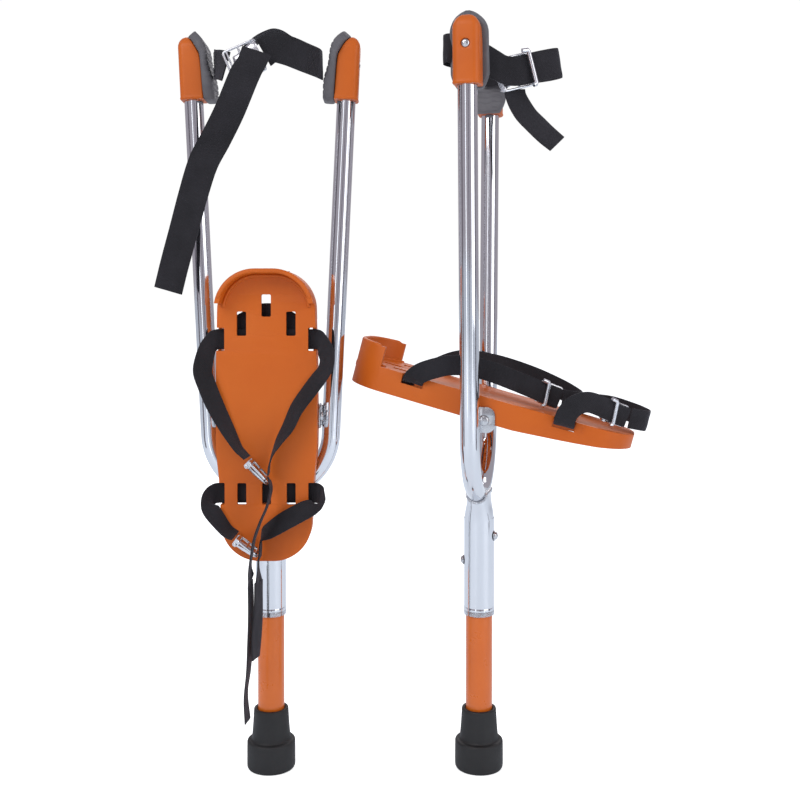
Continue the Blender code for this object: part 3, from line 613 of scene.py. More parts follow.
def strap(name, stations, width, body, matrix, replaces=(), thick=1.5, steps=8, crown=0.0, seed=0, ripple=0.25):
    """Webbing: a thin rounded section swept along the stations, with a UV map in millimetres."""
    path = catmull(stations, steps)
    C = [Vector(p[:3]) for p in path]
    n = len(C)
    across = 10
    sec = []                                     # (position across -1..1, offset along normal)
    for k in range(across + 1):
        sec.append((-1 + 2 * k / across, 0.5))
    for k in range(across, -1, -1):
        sec.append((-1 + 2 * k / across, -0.5))
    bm = bmesh.new()
    uvl = bm.loops.layers.uv.new("UVMap")
    rows, vs = [], []
    dist = 0.0
    for i, p in enumerate(path):
        if i:
            dist += (C[i] - C[i - 1]).length
        vs.append(dist)
        t = (C[min(i + 1, n - 1)] - C[max(i - 1, 0)]).normalized()
        w = Vector(p[3:6])
        w = (w - t * w.dot(t)).normalized()
        nn = t.cross(w).normalized()
        row = []
        for u, side in sec:
            edge = 1.0 - 0.35 * (abs(u) > 0.99)
            wob = ripple * noise.noise(Vector((u * 1.3 + seed * 7.1, dist * 0.035, seed))) * 1.6
            lift = crown * (1 - u * u)
            row.append(bm.verts.new(C[i] + w * (u * (width / 2 - (0.3 if abs(u) > 0.99 and False else 0.0)))
                                    + nn * (side * thick * edge + wob + lift)))
        rows.append(row)
    m = len(sec)
    for i in range(n - 1):
        for k in range(m):
            j = (k + 1) % m
            f = bm.faces.new((rows[i][k], rows[i][j], rows[i + 1][j], rows[i + 1][k]))
            us = [sec[k][0], sec[j][0], sec[j][0], sec[k][0]]
            for lp, uu, vv in zip(f.loops, us, (vs[i], vs[i], vs[i + 1], vs[i + 1])):
                lp[uvl].uv = (uu * width / 2, vv)
    for row, v in ((rows[0], vs[0]), (rows[-1], vs[-1])):
        h = m // 2
        for k in range(h - 1):
            f = bm.faces.new((row[k], row[k + 1], row[m - 2 - k], row[m - 1 - k]))
            for lp in f.loops:
                lp[uvl].uv = (0.0, v)
    return put(name, bm, "webbing", body, matrix, replaces, smooth=50)


def stitch_box(name, stations, at, width, length, body, matrix, n_off=0.95, steps=8, side=1, steps_in=9):
    """A boxed cross of stitches on a strap: short thread loops standing on the face."""
    path = catmull(stations, steps)
    C = [Vector(p[:3]) for p in path]
    acc = [0.0]
    for a, b in zip(C, C[1:]):
        acc.append(acc[-1] + (b - a).length)

    def at_len(s):
        s = max(0.0, min(acc[-1] - 1e-3, s))
        for i in range(len(acc) - 1):
            if acc[i + 1] >= s:
                f = (s - acc[i]) / max(1e-6, acc[i + 1] - acc[i])
                c = C[i].lerp(C[i + 1], f)
                t = (C[i + 1] - C[i]).normalized()
                w = Vector(path[i][3:6]).lerp(Vector(path[i + 1][3:6]), f)
                w = (w - t * w.dot(t)).normalized()
                return c, t, w, t.cross(w).normalized()
    hw = width / 2 - 3.0
    runs = [((0, -hw), (length, -hw)), ((0, hw), (length, hw)), ((0, -hw), (0, hw)), ((length, -hw), (length, hw)),
            ((0, -hw), (length, hw)), ((0, hw), (length, -hw))]
    bms = []
    for a, b in runs:
        L = math.hypot(b[0] - a[0], b[1] - a[1])
        k = max(2, int(L / 2.6))
        for i in range(k):
            f0, f1 = (i + 0.15) / k, (i + 0.85) / k
            pts = []
            for f, h in ((f0, -0.2), (f0 + (f1 - f0) * 0.25, 0.22), (f0 + (f1 - f0) * 0.75, 0.22), (f1, -0.2)):
                s, u = a[0] + (b[0] - a[0]) * f, a[1] + (b[1] - a[1]) * f
                c, t, w, nn = at_len(at + s)
                pts.append(c + w * u + nn * side * (n_off + h))
            bms.append(tube(pts, 0.26, 6))
    return put(name, join(*bms), "thread", body, matrix, smooth=0)


# --------------------------------------------------------------- metal structure
def yoke_points(top, seg=64):
    pts = [(-arm_x(top), 0, top)]
    mid = (top + BEND_CZ) / 2
    pts.append((-arm_x(mid), 0, mid))
    for i in range(seg + 1):
        a = math.radians(180) + SPLAY + (math.pi - 2 * SPLAY) * i / seg
        pts.append((BEND_R * math.cos(a), 0, BEND_CZ + BEND_R * math.sin(a)))
    pts.append((arm_x(mid), 0, mid))
    pts.append((arm_x(top), 0, top))
    return pts


def superring(z, hx, hy, n, seg):
    pts = []
    for i in range(seg):
        a = 2 * math.pi * (i + 0.5) / seg
        c, s = math.cos(a), math.sin(a)
        pts.append((hx * math.copysign(abs(c) ** (2 / n), c), hy * math.copysign(abs(s) ** (2 / n), s), z))
    return pts


def bead(pts, r, seed, pitch=1.9):
    """Ripple weld: a closed bead whose radius pulses along its length."""
    fine = catmull([list(p) for p in pts] + [list(pts[0])], 6)[:-1]
    L, acc = [], 0.0
    for i, p in enumerate(fine):
        L.append(acc)
        acc += (Vector(fine[(i + 1) % len(fine)]) - Vector(p)).length
    fr = frames_along(fine, closed=True)
    rings = []
    for (p, n, b), s in zip(fr, L):
        k = (s / pitch) % 1.0
        rr = r * (0.86 + 0.2 * math.sqrt(max(0.0, 1 - (2 * k - 1) ** 2)) + 0.07 * noise.noise(Vector((s * 0.3, seed, 0))))
        rings.append([p + n * (rr * math.cos(a)) + b * (rr * math.sin(a)) for a in (2 * math.pi * j / 10 for j in range(10))])
    return loft(rings, closed=True)


def build_yoke(pre):
    put(pre + "bent_yoke_tube", pipe(yoke_points(TUBE_TOP), TUBE_R, TUBE_R - TUBE_WALL, 56), "chrome",
        pre + "frame", UNIT[pre], [pre + "yoke_tube"])
    stations = [(163.0, 15.5, 15.5, 2), (165, 15.5, 15.5, 2), (250, 15.5, 15.5, 2), (255, 15.7, 15.35, 2.02), (260, 16.2, 14.8, 2.08),
                (265, 17.0, 14.0, 2.15), (270, 18.2, 12.9, 2.28), (275, 19.3, 12.1, 2.45), (280, 20.1, 11.5, 2.68), (284, 20.4, 11.2, 2.8)]
    fine = catmull(stations, 3)
    body = loft([superring(z, hx, hy, n, 88) for z, hx, hy, n in fine])
    steps = [('-', cyl((0, 0, 150), (0, 0, 251), 14.0, 64)), ('-', cyl((0, 0, 250.5), (0, 0, 256), 14.0, 64, r1=8.0)),
             ('-', tube(yoke_points(400, 48), TUBE_R + 0.25, 40)),
             ('-', cyl((0, -20, 239), (0, -5, 239), 3.25)), ('-', cyl((0, 5, 213), (0, 20, 213), 3.25)),
             ('bevel', 0.5, 2, 38)]
    put(pre + "leg_sleeve", solve(body, steps), "chrome", pre + "frame", UNIT[pre], [pre + "sleeve"])
    # weld round the saddle: along both lips, and down under the tube at each end
    ring = []
    zc = lambda x: BEND_CZ - math.sqrt(BEND_R ** 2 - x * x)
    for i in range(15):
        x = -18.5 + 37 * i / 14
        ring.append((x, 10.2 - 0.02 * abs(x), 284.4 - 0.3 * (abs(x) > 16)))
    for i in range(1, 8):
        a = math.pi * i / 8
        ring.append((20.2 - 0.9 * abs(math.cos(a)), 10.2 * math.cos(a), 285.5 - 9.8 * math.sin(a) ** 0.9))
    for i in range(15):
        x = 18.5 - 37 * i / 14
        ring.append((x, -10.2 + 0.02 * abs(x), 284.4 - 0.3 * (abs(x) > 16)))
    for i in range(1, 8):
        a = math.pi * i / 8
        ring.append((-20.2 + 0.9 * abs(math.cos(a)), -10.2 * math.cos(a), 285.5 - 9.8 * math.sin(a) ** 0.9))
    put(pre + "saddle_weld", bead(ring, 1.35, 3.0), "weld", pre + "frame", UNIT[pre], smooth=60)
    # rolled lower rim of the sleeve
    put(pre + "sleeve_rim", lathe([(14.15, 163.4), (14.3, 162.6), (15.2, 162.5), (15.85, 163.2), (15.85, 165.2), (15.45, 166.4), (14.15, 166.4)], 72),
        "chrome", pre + "frame", UNIT[pre])
    for tag, z, s, reach in (("spring_bolt", 239.0, -1, -8.0), ("guide_bolt", 213.0, 1, 12.3)):
        head = [(0, 3.4), (1.5, 3.35), (2.8, 2.9), (3.8, 2.0), (4.35, 0.9), (4.4, 0.0)]
        prof = [(0, 2.0), (1.5, 2.0), (1.5, 3.3), (2.0, 3.3), (2.9, 2.9), (3.7, 2.1), (4.3, 1.0), (4.4, 0.0), (3.0, 0.0),
                (3.0, -(15.8 - reach) + 0.4), (2.6, -(15.8 - reach)), (0, -(15.8 - reach))]
        bm = solid_lathe(prof, 36)
        m = UNIT[pre] @ axes((1, 0, 0), (0, 0, 1 if s < 0 else -1), (0, s, 0), (0, s * 15.75, z))
        put(pre + tag + "_button_head", bm, "steel", pre + "frame", m, [pre + tag])
        put(pre + tag + "_washer", lathe([(3.1, -0.25), (5.3, -0.25), (5.4, 0.15), (5.3, 0.4), (3.1, 0.4)], 40), "steel", pre + "frame", m)


def build_leg(pre):
    bm = lathe([(LEG_R, 228), (LEG_R, 14.3), (LEG_R - 1.6, 14.3), (LEG_R - 1.6, 228)], 72)
    slot = plan([rrect(0, 203, 6.6, 26.6, 3.2, 8)], 8, PLANE_XZ @ Matrix.Translation((0, 0, -13 * MM)))
    put(pre + "painted_leg_tube", solve(bm, [('-', box((-3.4, -20, 213.5), (3.4, -5, 233))), ('-', slot), ('bevel', 0.35, 2, 40)]),
        "paint", pre + "leg", UNIT[pre], [pre + "leg_tube"])
    prof = [(22.0, 0.0), (19.5, 0.0), (19.2, 1.2), (17.4, 1.2), (17.1, 0.0), (14.2, 0.0), (13.9, 1.2), (12.1, 1.2), (11.8, 0.0),
            (8.9, 0.0), (8.6, 1.2), (6.2, 1.6), (6.0, 2.0), (4.0, 2.4), (4.0, 14.0), (13.85, 14.0), (13.85, 60.6), (14.2, 61.2), (15.0, 61.6),
            (16.4, 61.6), (17.25, 61.1), (17.6, 60.2), (17.75, 57.0), (18.5, 45.0), (19.5, 33.0), (19.7, 31.0), (20.1, 30.0), (20.9, 29.4),
            (22.2, 29.3), (23.4, 29.0), (24.2, 28.2), (24.55, 27.0), (24.65, 18.0), (24.65, 4.0), (24.4, 2.0), (23.6, 0.6)]
    put(pre + "rubber_foot", lathe(prof[::-1], 96), "rubber", pre + "leg", UNIT[pre], [pre + "foot_tip"], smooth=50)


PAD_INNER = [(71.0, -5.0), (55.0, -16.5), (34.0, -19.5), (18.0, -23.0), (-1.0, -23.3)]
PAD_BACK = [(65.0, 2.5), (58.0, -3.5), (50.0, -8.0), (44.0, -10.6), (32.0, -11.4), (-1.0, -12.3)]


def back_x(z):
    k = PAD_BACK
    for (z1, x1), (z0, x0) in zip(k, k[1:]):
        if z >= z0:
            return x0 + (x1 - x0) * (z - z0) / (z1 - z0)
    return k[-1][1]


def build_head(pre, side, tag):
    m = UNIT[pre] @ arm_frame(side)
    hy0, zc = 13.1, 65.0 - 13.1
    rings = []
    zs = [0.0, 0.5, 1.2, 2.2, 3.2, 4.0, 5.0] + [10 + 5 * i for i in range(8)] + [zc + 13.1 * math.sin(math.radians(a)) for a in
         (2, 8, 14, 20, 26, 32, 38, 44, 50, 55, 60, 65, 70, 74, 78, 81, 84)]
    for z in zs:
        hy = hy0 if z < zc else math.sqrt(max(0.01, hy0 ** 2 - (z - zc) ** 2))
        xo = 12.0 if z < 54.0 else 12.0 - 11.0 + math.sqrt(max(0.01, 121.0 - (z - 54.0) ** 2))
        xi = back_x(z) + 0.35
        lip = 0.0
        if z < 3.5:
            lip = 0.45 * math.sin(math.pi * min(1.0, (z + 0.3) / 3.6))
        if z < 1.0:
            lip -= 0.6 * (1.0 - z)
        pts = []
        ro = min(6.5, hy * 0.7, (xo - xi) * 0.45)
        ri = min(1.4, hy * 0.4, (xo - xi) * 0.3)
        for qx, qy, a0, r in ((1, 1, 0, ro), (-1, 1, 90, ri), (-1, -1, 180, ri), (1, -1, 270, ro)):
            for i in range(9):
                a = math.radians(a0 + 90 * i / 8)
                cx = (xo - r) if qx > 0 else (xi + r)
                cy = qy * (hy - r)
                # soft superellipse corner
                pts.append((cx + r * math.cos(a) + (lip if qx > 0 else 0) * max(0, math.cos(a)), cy + r * math.sin(a) + lip * math.sin(a), z))
        rings.append(pts)
    body = loft(rings)
    steps = [('-', cyl((0, 0, -5), (0, 0, 43.6), TUBE_R + 0.35, 48)),
             ('-', cyl((10.7, 0, 37), (16, 0, 37), 4.6, 40)), ('-', cyl((5, 0, 37), (16, 0, 37), 2.1, 20)),
             ('bevel', 0.4, 2, 48)]
    put(pre + "cap_shell_" + tag, solve(body, steps), "plastic", pre + "frame", m, [pre + "grip_cap_" + tag], smooth=40)
    # cross-recessed pan head screw
    prof = [(0, 1.75), (1.2, 1.7), (2.4, 1.45), (3.3, 1.0), (3.9, 0.4), (4.1, 0.0), (1.7, 0.0), (1.7, -4.5), (1.3, -5.0), (0, -5.2)]
    head = solid_lathe(prof, 40)
    head.transform(axes((0, 1, 0), (0, 0, 1), (1, 0, 0), (0, 0, 0)))
    bmesh.ops.translate(head, vec=(11.0, 0, 37), verts=head.verts)
    cr = []
    for ang in (0, 90):
        b = box((0.9, -2.1, -0.42), (3.0, 2.1, 0.42))
        b.transform(Matrix.Rotation(math.radians(ang + 35), 4, 'X'))
        bmesh.ops.translate(b, vec=(10.8, 0, 37), verts=b.verts)
        cr.append(('-', b))
    put(pre + "cap_screw_head_" + tag, solve(head, cr + [('bevel', 0.12, 1, 50)]), "steel", pre + "frame", m, [pre + "cap_screw_" + tag])
    # calf pad: stations from the foot of the pad up to its curled top
    inner = catmull([(z, x) for z, x in PAD_INNER[::-1]], 30)
    back = catmull([(z, x) for z, x in PAD_BACK[::-1]], 12)

    def sample(path, f):
        acc = [0.0]
        for a, b in zip(path, path[1:]):
            acc.append(acc[-1] + math.hypot(b[0] - a[0], b[1] - a[1]))
        s = f * acc[-1]
        for i in range(len(acc) - 1):
            if acc[i + 1] >= s - 1e-9:
                t = (s - acc[i]) / max(1e-9, acc[i + 1] - acc[i])
                return Vector((path[i][0] + (path[i + 1][0] - path[i][0]) * t, path[i][1] + (path[i + 1][1] - path[i][1]) * t)), s
        return Vector(path[-1]), acc[-1]
    rings = []
    N = 150
    for i in range(N + 1):
        f = i / N
        I, s = sample(inner, f)
        B, _ = sample(back, f)
        hy = 18.5
        if s < 16:
            hy = 18.5 - 6.0 * ((16 - s) / 16) ** 1.6
        top = 74.5 - s
        if top < 20:
            hy = min(hy, 18.5 * math.sqrt(max(0.02, 1 - ((20 - top) / 21.5) ** 2)))
        edge = 1.0
        endf = min(f, 1 - f) * N
        if endf < 3:
            edge = 0.80 + 0.20 * math.sqrt(1 - (1 - endf / 3) ** 2)
        mid = (I + B) / 2
        I2, B2 = mid + (I - mid) * edge, mid + (B - mid) * edge
        pts = []
        ny = 20
        for k in range(ny + 1):                                    # inner face
            u = -1 + 2 * k / ny
            y = hy * (abs(u) ** 0.9) * (1 if u > 0 else -1) if u else 0.0
            wave = 0.9 * math.sin(y * 0.28 + side) + 0.6 * math.sin(y * 0.55 + 2.0 * side)
            ph = ((s + wave) / 6.2) % 1.0
            groove = 0.75 * math.exp(-((ph - 0.5) / 0.13) ** 2) if 4 < s < 62 else 0.0
            rnd = 2.6 * max(0.0, (abs(u) - 0.80) / 0.20) ** 2
            d = groove * (1 - max(0.0, (abs(u) - 0.93) / 0.07)) + rnd + 0.9 * math.cos(math.pi * u / 2) * 0
            dirv = (B2 - I2).normalized()
            P = I2 + dirv * d
            pts.append((P.x, y, P.y))
        for k in range(ny, -1, -1):                                # back face
            u = -1 + 2 * k / ny
            y = hy * (abs(u) ** 0.9) * (1 if u > 0 else -1) if u else 0.0
            rnd = 1.6 * max(0.0, (abs(u) - 0.86) / 0.14) ** 2
            dirv = (I2 - B2).normalized()
            P = B2 + dirv * rnd
            pts.append((P.x, y, P.y))
        rings.append([(x, y, z) for z, y, x in pts])
    pad = put(pre + "ribbed_calf_pad_" + tag, loft(rings), "pad", pre + "frame", m, [pre + "calf_pad_" + tag], smooth=60)


def build_hinge(pre):
    for side, tag in ((-1, "a"), (1, "b")):
        x0, x1 = sorted((side * 50.75, side * 52.15))
        fr = PLANE_YZ.copy()
        fr.translation = Vector(((x0 + x1) / 2 * MM, 0, 0))
        bm = plan([rrect(-10.0, 363.0, 26.0, 25.0, 8.0, 10)], 0.7, fr)
        put(pre + "welded_hinge_plate_" + tag, solve(bm, [('-', cyl((side * 45, -12, 362.5), (side * 58, -12, 362.5), 3.75, 40)),
            ('bevel', 0.3, 2, 40)]), "steel", pre + "frame", UNIT[pre], [pre + "hinge_bracket_" + tag])
        for j, y in enumerate((-5.0, 1.6)):
            ring = [(side * 52.6, y, 353.5 + 18.5 * k / 7) for k in range(8)] + [(side * 52.75, y + 0.5, 372 - 18.5 * k / 7) for k in range(8)]
            put("%shinge_weld_%s%d" % (pre, tag, j), bead(ring, 0.75, j + 2.0, 1.5), "weld", pre + "frame", UNIT[pre], smooth=60)
    prof = [(0, -55.0), (3.2, -55.0), (4.4, -54.6), (5.1, -53.8), (5.2, -53.2), (5.2, -52.5), (3.5, -52.5), (3.5, 52.5), (5.2, 52.5),
            (5.2, 53.2), (5.1, 53.8), (4.4, 54.6), (3.2, 55.0), (0, 55.0)]
    m = UNIT[pre] @ axes((0, 1, 0), (0, 0, 1), (1, 0, 0), PIVOT)
    put(pre + "hinge_rod", solid_lathe(prof, 40), "steel", pre + "frame", m, [pre + "pivot_axle"])


# --------------------------------------------------------------------- foot plate
def half_width(t):
    knots = [(-148, 48.0), (-100, 48.6), (-60, 49.8), (-30, 50.2), (30, 50.2), (60, 47.4), (90, 45.6), (142, 43.8)]
    for (t0, w0), (t1, w1) in zip(knots, knots[1:]):
        if t <= t1:
            u = (t - t0) / (t1 - t0)
            return w0 + (w1 - w0) * u
    return 43.8


def outline(inset, n=22):
    right = []
    rh, rt = 40.0 - inset, 38.0 - inset
    h, e = -148 + inset, 142 - inset
    for i in range(n + 1):
        a = math.radians(90 - 90 * i / n)
        w = half_width(h + rh) - inset
        right.append((w - rh + rh * math.cos(a), h + rh - rh * math.sin(a)))
    for t in (-90, -75, -60, -45, -30, -15, 0, 15, 30, 45, 60, 75, 90):
        right.append((half_width(t) - inset - (0.25 if abs(t) == 30 or t == 60 else 0), t))
    for i in range(n + 1):
        a = math.radians(90 * i / n)
        w = half_width(e - rt) - inset
        right.append((w - rt + rt * math.cos(a), e - rt + rt * math.sin(a)))
    return right + [(-x, t) for x, t in reversed(right)]


def raised(loops, n0, n1):
    return plan(loops, (n1 - n0) / 2, axes((1, 0, 0), (0, -1, 0), (0, 0, -1), (0, 0, (n0 + n1) / 2)))


def build_plate(pre):
    steps = [('-', box((-70, -200, FLOOR_TOP), (70, 114, 60))),
             ('-', raised([outline(4.6)], FLOOR_TOP, 60)),
             ('-', raised([outline(3.6)], -20, FLOOR_BOTTOM))]
    wedge = [(22, SKIRT_BOTTOM - 0.4), (46, -0.9), (70, 0.8), (90, 2.5), (110, 4.6), (130, 7.4), (141, 9.2), (150, 11), (150, -20), (22, -20)]
    steps.append(('-', plan([wedge], 70, axes((0, -1, 0), (0, 0, 1), (-1, 0, 0)))))
    # ribs under the floor, clear of the strap ways and of the hinge rod
    ribs = []
    for x in (-22, 0, 22):
        for t0, t1 in ((-146, -116), (-56, -14), (14, 56), (94, 130)):
            n0 = 12.0 if abs(t0) < 60 else 15.0
            ribs.append(('+', box((x - 0.9, -t1, n0), (x + 0.9, -t0, FLOOR_BOTTOM + 1))))
    for t in (-56, -14, 14, 56, 94):
        ribs.append(('+', box((-46, -t - 0.9, 14.0), (46, -t + 0.9, FLOOR_BOTTOM + 1))))
    steps += ribs
    for x, t, w, ln in ((0, -112, 9.5, 22), (-24.5, -94, 9.5, 24), (24.5, -94, 9.5, 24),
                        (0, 75, 9.0, 21.5), (-24.5, 75, 9.0, 21.5), (24.5, 75, 9.0, 21.5)):
        steps.append(('-', raised([rrect(x, t, w, ln, 1.4, 4)], 12.5, 30)))
    for x in (-1, 1):
        for t0, t1 in ((-90, -67), (64, 86)):
            xa, xb = sorted((x * 41.5, x * 62.0))
            steps.append(('-', raised([rrect((xa + xb) / 2, (t0 + t1) / 2, xb - xa, t1 - t0, 1.2, 3)], 12.5, 30)))
    steps += [('+', box((-49.9, -9, -7), (-45.2, 9, 20.5))), ('+', box((45.2, -9, -7), (49.9, 9, 20.5))),
              ('-', cyl((-60, 0, 0), (60, 0, 0), 3.75, 40)), ('bevel', 0.8, 3, 42)]
    put(pre + "moulded_footplate", solve(raised([outline(0)], SKIRT_BOTTOM, CUP_TOP), steps), "plastic",
        pre + "plate", PLATE[pre], [pre + "footplate"], smooth=32)
    # the moulded bead that runs round the top of the heel cup, and the step at the cup's foot
    rim = [(x, -t, CUP_TOP - 0.4) for x, t in outline(2.3) if t < -118]
    left = [p for p in rim if p[0] < 0]
    right = [p for p in rim if p[0] >= 0]
    left.sort(key=lambda p: math.atan2(p[1], -p[0]))
    right.sort(key=lambda p: -math.atan2(p[1], p[0]))
    put(pre + "heel_cup_rim", tube(left + right, 2.35, 14, radius=lambda f: 2.35 * min(1.0, 0.35 + 20 * min(f, 1 - f))), "plastic", pre + "plate",
        PLATE[pre], smooth=50)
    step = [(x, -t, FLOOR_TOP + 0.1) for x, t in outline(6.2) if t < -110]
    left = sorted([p for p in step if p[0] < 0], key=lambda p: math.atan2(p[1], -p[0]))
    right = sorted([p for p in step if p[0] >= 0], key=lambda p: -math.atan2(p[1], p[0]))
    put(pre + "heel_cup_step", tube(left + right, 1.9, 12), "plastic", pre + "plate", PLATE[pre], smooth=50)


# ----------------------------------------------------------------------- buckles
def build_buckle(pre, parent, lever_body, base, origin, xdir, zdir, ln, w, lever_len, double=False):
    fr = base @ frame_at(origin, xdir, zdir)
    hx, hy, r = ln / 2 - 1.3, w / 2 - 1.3, 1.25
    ringpts = [(x, y, 0) for x, y in rrect(0, 0, 2 * hx, 2 * hy, 2.2, 5)]
    bms = [tube(ringpts, r, 14, closed=True)]
    mid = cyl((0, -hy, 0), (0, hy, 0), 1.15, 16)
    bms.append(mid)
    if double:
        bms.append(cyl((-hx + 3.6, -hy, 0.2), (-hx + 3.6, hy, 0.2), 1.0, 16))
    # thick rolled bar at the lever's end
    bms.append(tube([(hx, -hy - 0.6, 0.6), (hx, 0, 0.6), (hx, hy + 0.6, 0.6)], 2.0, 20))
    px, pz = ln / 2 - 1.3, 4.3
    lw = (w - 7.2) / 2
    for s in (-1, 1):
        y0, y1 = sorted((s * (lw + 0.25), s * (lw + 1.05)))
        ear = plan([round_profile([(px - 2.9, -1.0), (px + 2.7, -1.0), (px + 2.7, pz + 1.2), (px + 1.2, pz + 2.4), (px - 1.2, pz + 2.4),
                                   (px - 2.9, pz)], 1.2, 4)], (y1 - y0) / 2, axes((1, 0, 0), (0, 0, 1), (0, -1, 0), (0, (y0 + y1) / 2, 0)))
        bms.append(ear)
    bms.append(cyl((px, -lw - 1.8, pz), (px, lw + 1.8, pz), 1.05, 20))
    for s in (-1, 1):
        cap = solid_lathe([(0, 1.0), (0.9, 0.9), (1.6, 0.5), (1.8, 0), (0, 0)], 20)
        cap.transform(axes((1, 0, 0), (0, 0, -s), (0, s, 0), (0, 0, 0)))
        bmesh.ops.translate(cap, vec=(px, s * (lw + 1.05), pz), verts=cap.verts)
        bms.append(cap)
    put(pre + "wire_frame", join(*[outward(b) for b in bms]), "buckle", parent, fr, [pre + "buckle_frame"], smooth=40)
    # lever: a pressed spade with turned-down edges, a rivet, and a toothed cam at the pin
    lf = fr @ Matrix.Translation(Vector((px, 0, pz)) * MM)
    side = catmull([(2.4, 2.0), (-0.35 * lever_len, 1.9), (-0.8 * lever_len, 0.8), (-lever_len, -1.4)], 10)
    rings = []
    n = len(side)
    for i, (x, z) in enumerate(side):
        f = i / (n - 1)
        hw = lw * (1.0 - 0.42 * max(0.0, min(1.0, (f - 0.12) / 0.55)) ** 1.2)
        if f > 0.86:
            hw *= math.sqrt(max(0.06, 1 - ((f - 0.86) / 0.145) ** 2))
        if f < 0.06:
            hw *= 0.9
        drop = 2.3 * (1 - 0.7 * f) + 1.6 * math.sin(math.pi * min(1.0, f * 1.15)) ** 2
        top, bot = [], []
        for k in range(17):
            u = -1 + 2 * k / 16
            fall = drop * abs(u) ** 5
            top.append((x, hw * u, z - fall + 0.35 * (1 - u * u)))
            bot.append((x, (hw - 0.85) * u, z - 0.95 - fall * 0.9 + 0.35 * (1 - u * u)))
        rings.append(top + bot[::-1])
    parts = [outward(loft(rings))]
    parts.append(outward(cyl((0, -lw + 0.6, -0.2), (0, lw - 0.6, -0.2), 2.1, 20)))
    for k in range(5):
        a = math.radians(210 + 30 * k)
        parts.append(outward(cyl((2.0 * math.cos(a), -lw + 1.2, -0.2 + 2.0 * math.sin(a)), (2.0 * math.cos(a), lw - 1.2, -0.2 + 2.0 * math.sin(a)), 0.42, 8)))
    rv = solid_lathe([(0, 0.75), (0.6, 0.7), (1.1, 0.3), (1.3, -0.1), (1.7, -0.15), (2.0, 0.1), (2.2, -0.4), (0, -0.6)], 24)
    bmesh.ops.translate(rv, vec=(-0.36 * lever_len, 0, 2.35), verts=rv.verts)
    parts.append(outward(rv))
    put(pre + "spade_lever", join(*parts), "buckle", lever_body, lf, [pre + "buckle_lever"], smooth=40)


# ------------------------------------------------------------------ strap routes
LEFT_CALF_SHORT = [(-54.5, -8, 719, 0, 0, 1), (-52.0, -22, 715, 0, 0, 1), (-45.0, -34, 712, 0, 0.05, 1),
                   (-37.5, -43.5, 708, 0.2, 0, 1)]
LEFT_CALF = [(-0.5, -43.5, 721, -0.2, 0, 1), (9.0, -46, 726, -0.1, 0, 1), (23.0, -46, 723, 0.1, 0, 1),
             (38.6, -40, 718, 0.12, 0, 1), (50.3, -27, 716, 0.1, 0, 1), (54.0, -10, 717, 0, 0, 1)]
LEFT_CALF_TAIL = [(-6.0, -53.5, 721.0, 0.93, 0, -0.3), (-10.0, -58.0, 709.0, 0.93, 0, 0.1), (-17.5, -59.5, 695.0, 0.92, 0, 0.38),
                  (-31.6, -56, 663.3, 0.9, 0, 0.42), (-45.4, -52, 637.4, 0.91, 0, 0.4),
                  (-59.4, -47, 613.4, 0.93, -0.05, 0.36), (-71.1, -40, 581.7, 0.93, -0.1, 0.32),
                  (-82.8, -33, 544.6, 0.95, -0.12, 0.25), (-91.6, -28, 516.6, 0.97, -0.1, 0.15),
                  (-99.3, -24, 489.3, 0.98, -0.1, 0.1)]
LEFT_CALF_ARC = [(-22.0, -34, 724, 0, 1, 0), (-14.5, -33, 732, 0, 1, 0), (-4.5, -32, 739.5, 0, 1, 0), (7.5, -32, 744.0, 0, 1, 0),
                 (17.0, -32, 742.5, 0, 1, 0), (26.0, -33, 737, 0, 1, 0), (31.0, -34, 732.5, 0, 1, 0)]
RIGHT_CALF_SHORT = [(-54.0, 8, 717, 0, 0, 1), (-52.5, -8, 714.5, 0, 0.02, 1), (-46.5, -21, 708.5, 0, 0.08, 1),
                    (-38.5, -32, 704, 0, 0.12, 1), (-31.5, -43, 704.5, -0.05, 0.2, 1), (-25.0, -54.5, 708.0, -0.1, 0.25, 1)]
RIGHT_CALF = [(-25.6, -56.6, 708.7, -0.1, 0.25, 1), (-19.5, -66.0, 711.8, -0.1, 0.24, 1), (-13.5, -75.5, 714.6, -0.1, 0.2, 1),
              (-9.0, -80.6, 716.0, -0.1, 0.17, 1), (-3.0, -80.8, 716.4, -0.05, 0.14, 1), (6.0, -75, 717, 0, 0.1, 1), (22.0, -62, 719, 0, 0.05, 1),
              (37.0, -43, 721, 0, 0, 1), (48.0, -22, 723, 0, 0, 1), (52.5, -8, 724, 0, 0, 1), (54.0, 4, 724, 0, 0, 1)]
RIGHT_CALF_TAIL = [(-23.0, -38.4, 688.5, 0.76, -0.58, 0.18), (-22.5, -39.5, 682, 0.75, -0.6, 0.2), (-21.5, -43.5, 673, 0.72, -0.64, 0.26),
                   (-20.0, -50, 663, 0.7, -0.62, 0.35), (-19.0, -59, 653.5, 0.68, -0.5, 0.5),
                   (-18.0, -69, 643.5, 0.68, -0.4, 0.6), (-17.0, -80, 634, 0.7, -0.32, 0.64)]
RIGHT_CALF_FOLD = [(-68.0, 14.0, 720, 0, 0, 1), (-67.0, 20.5, 722, 0, 0, 1), (-62.5, 25.5, 722, 0, 0, 1), (-56.5, 24.5, 721, 0, 0, 1),
                   (-52.8, 16, 719, 0, 0, 1), (-52.2, 6, 718, 0, 0, 1)]


UNDER = 15.8


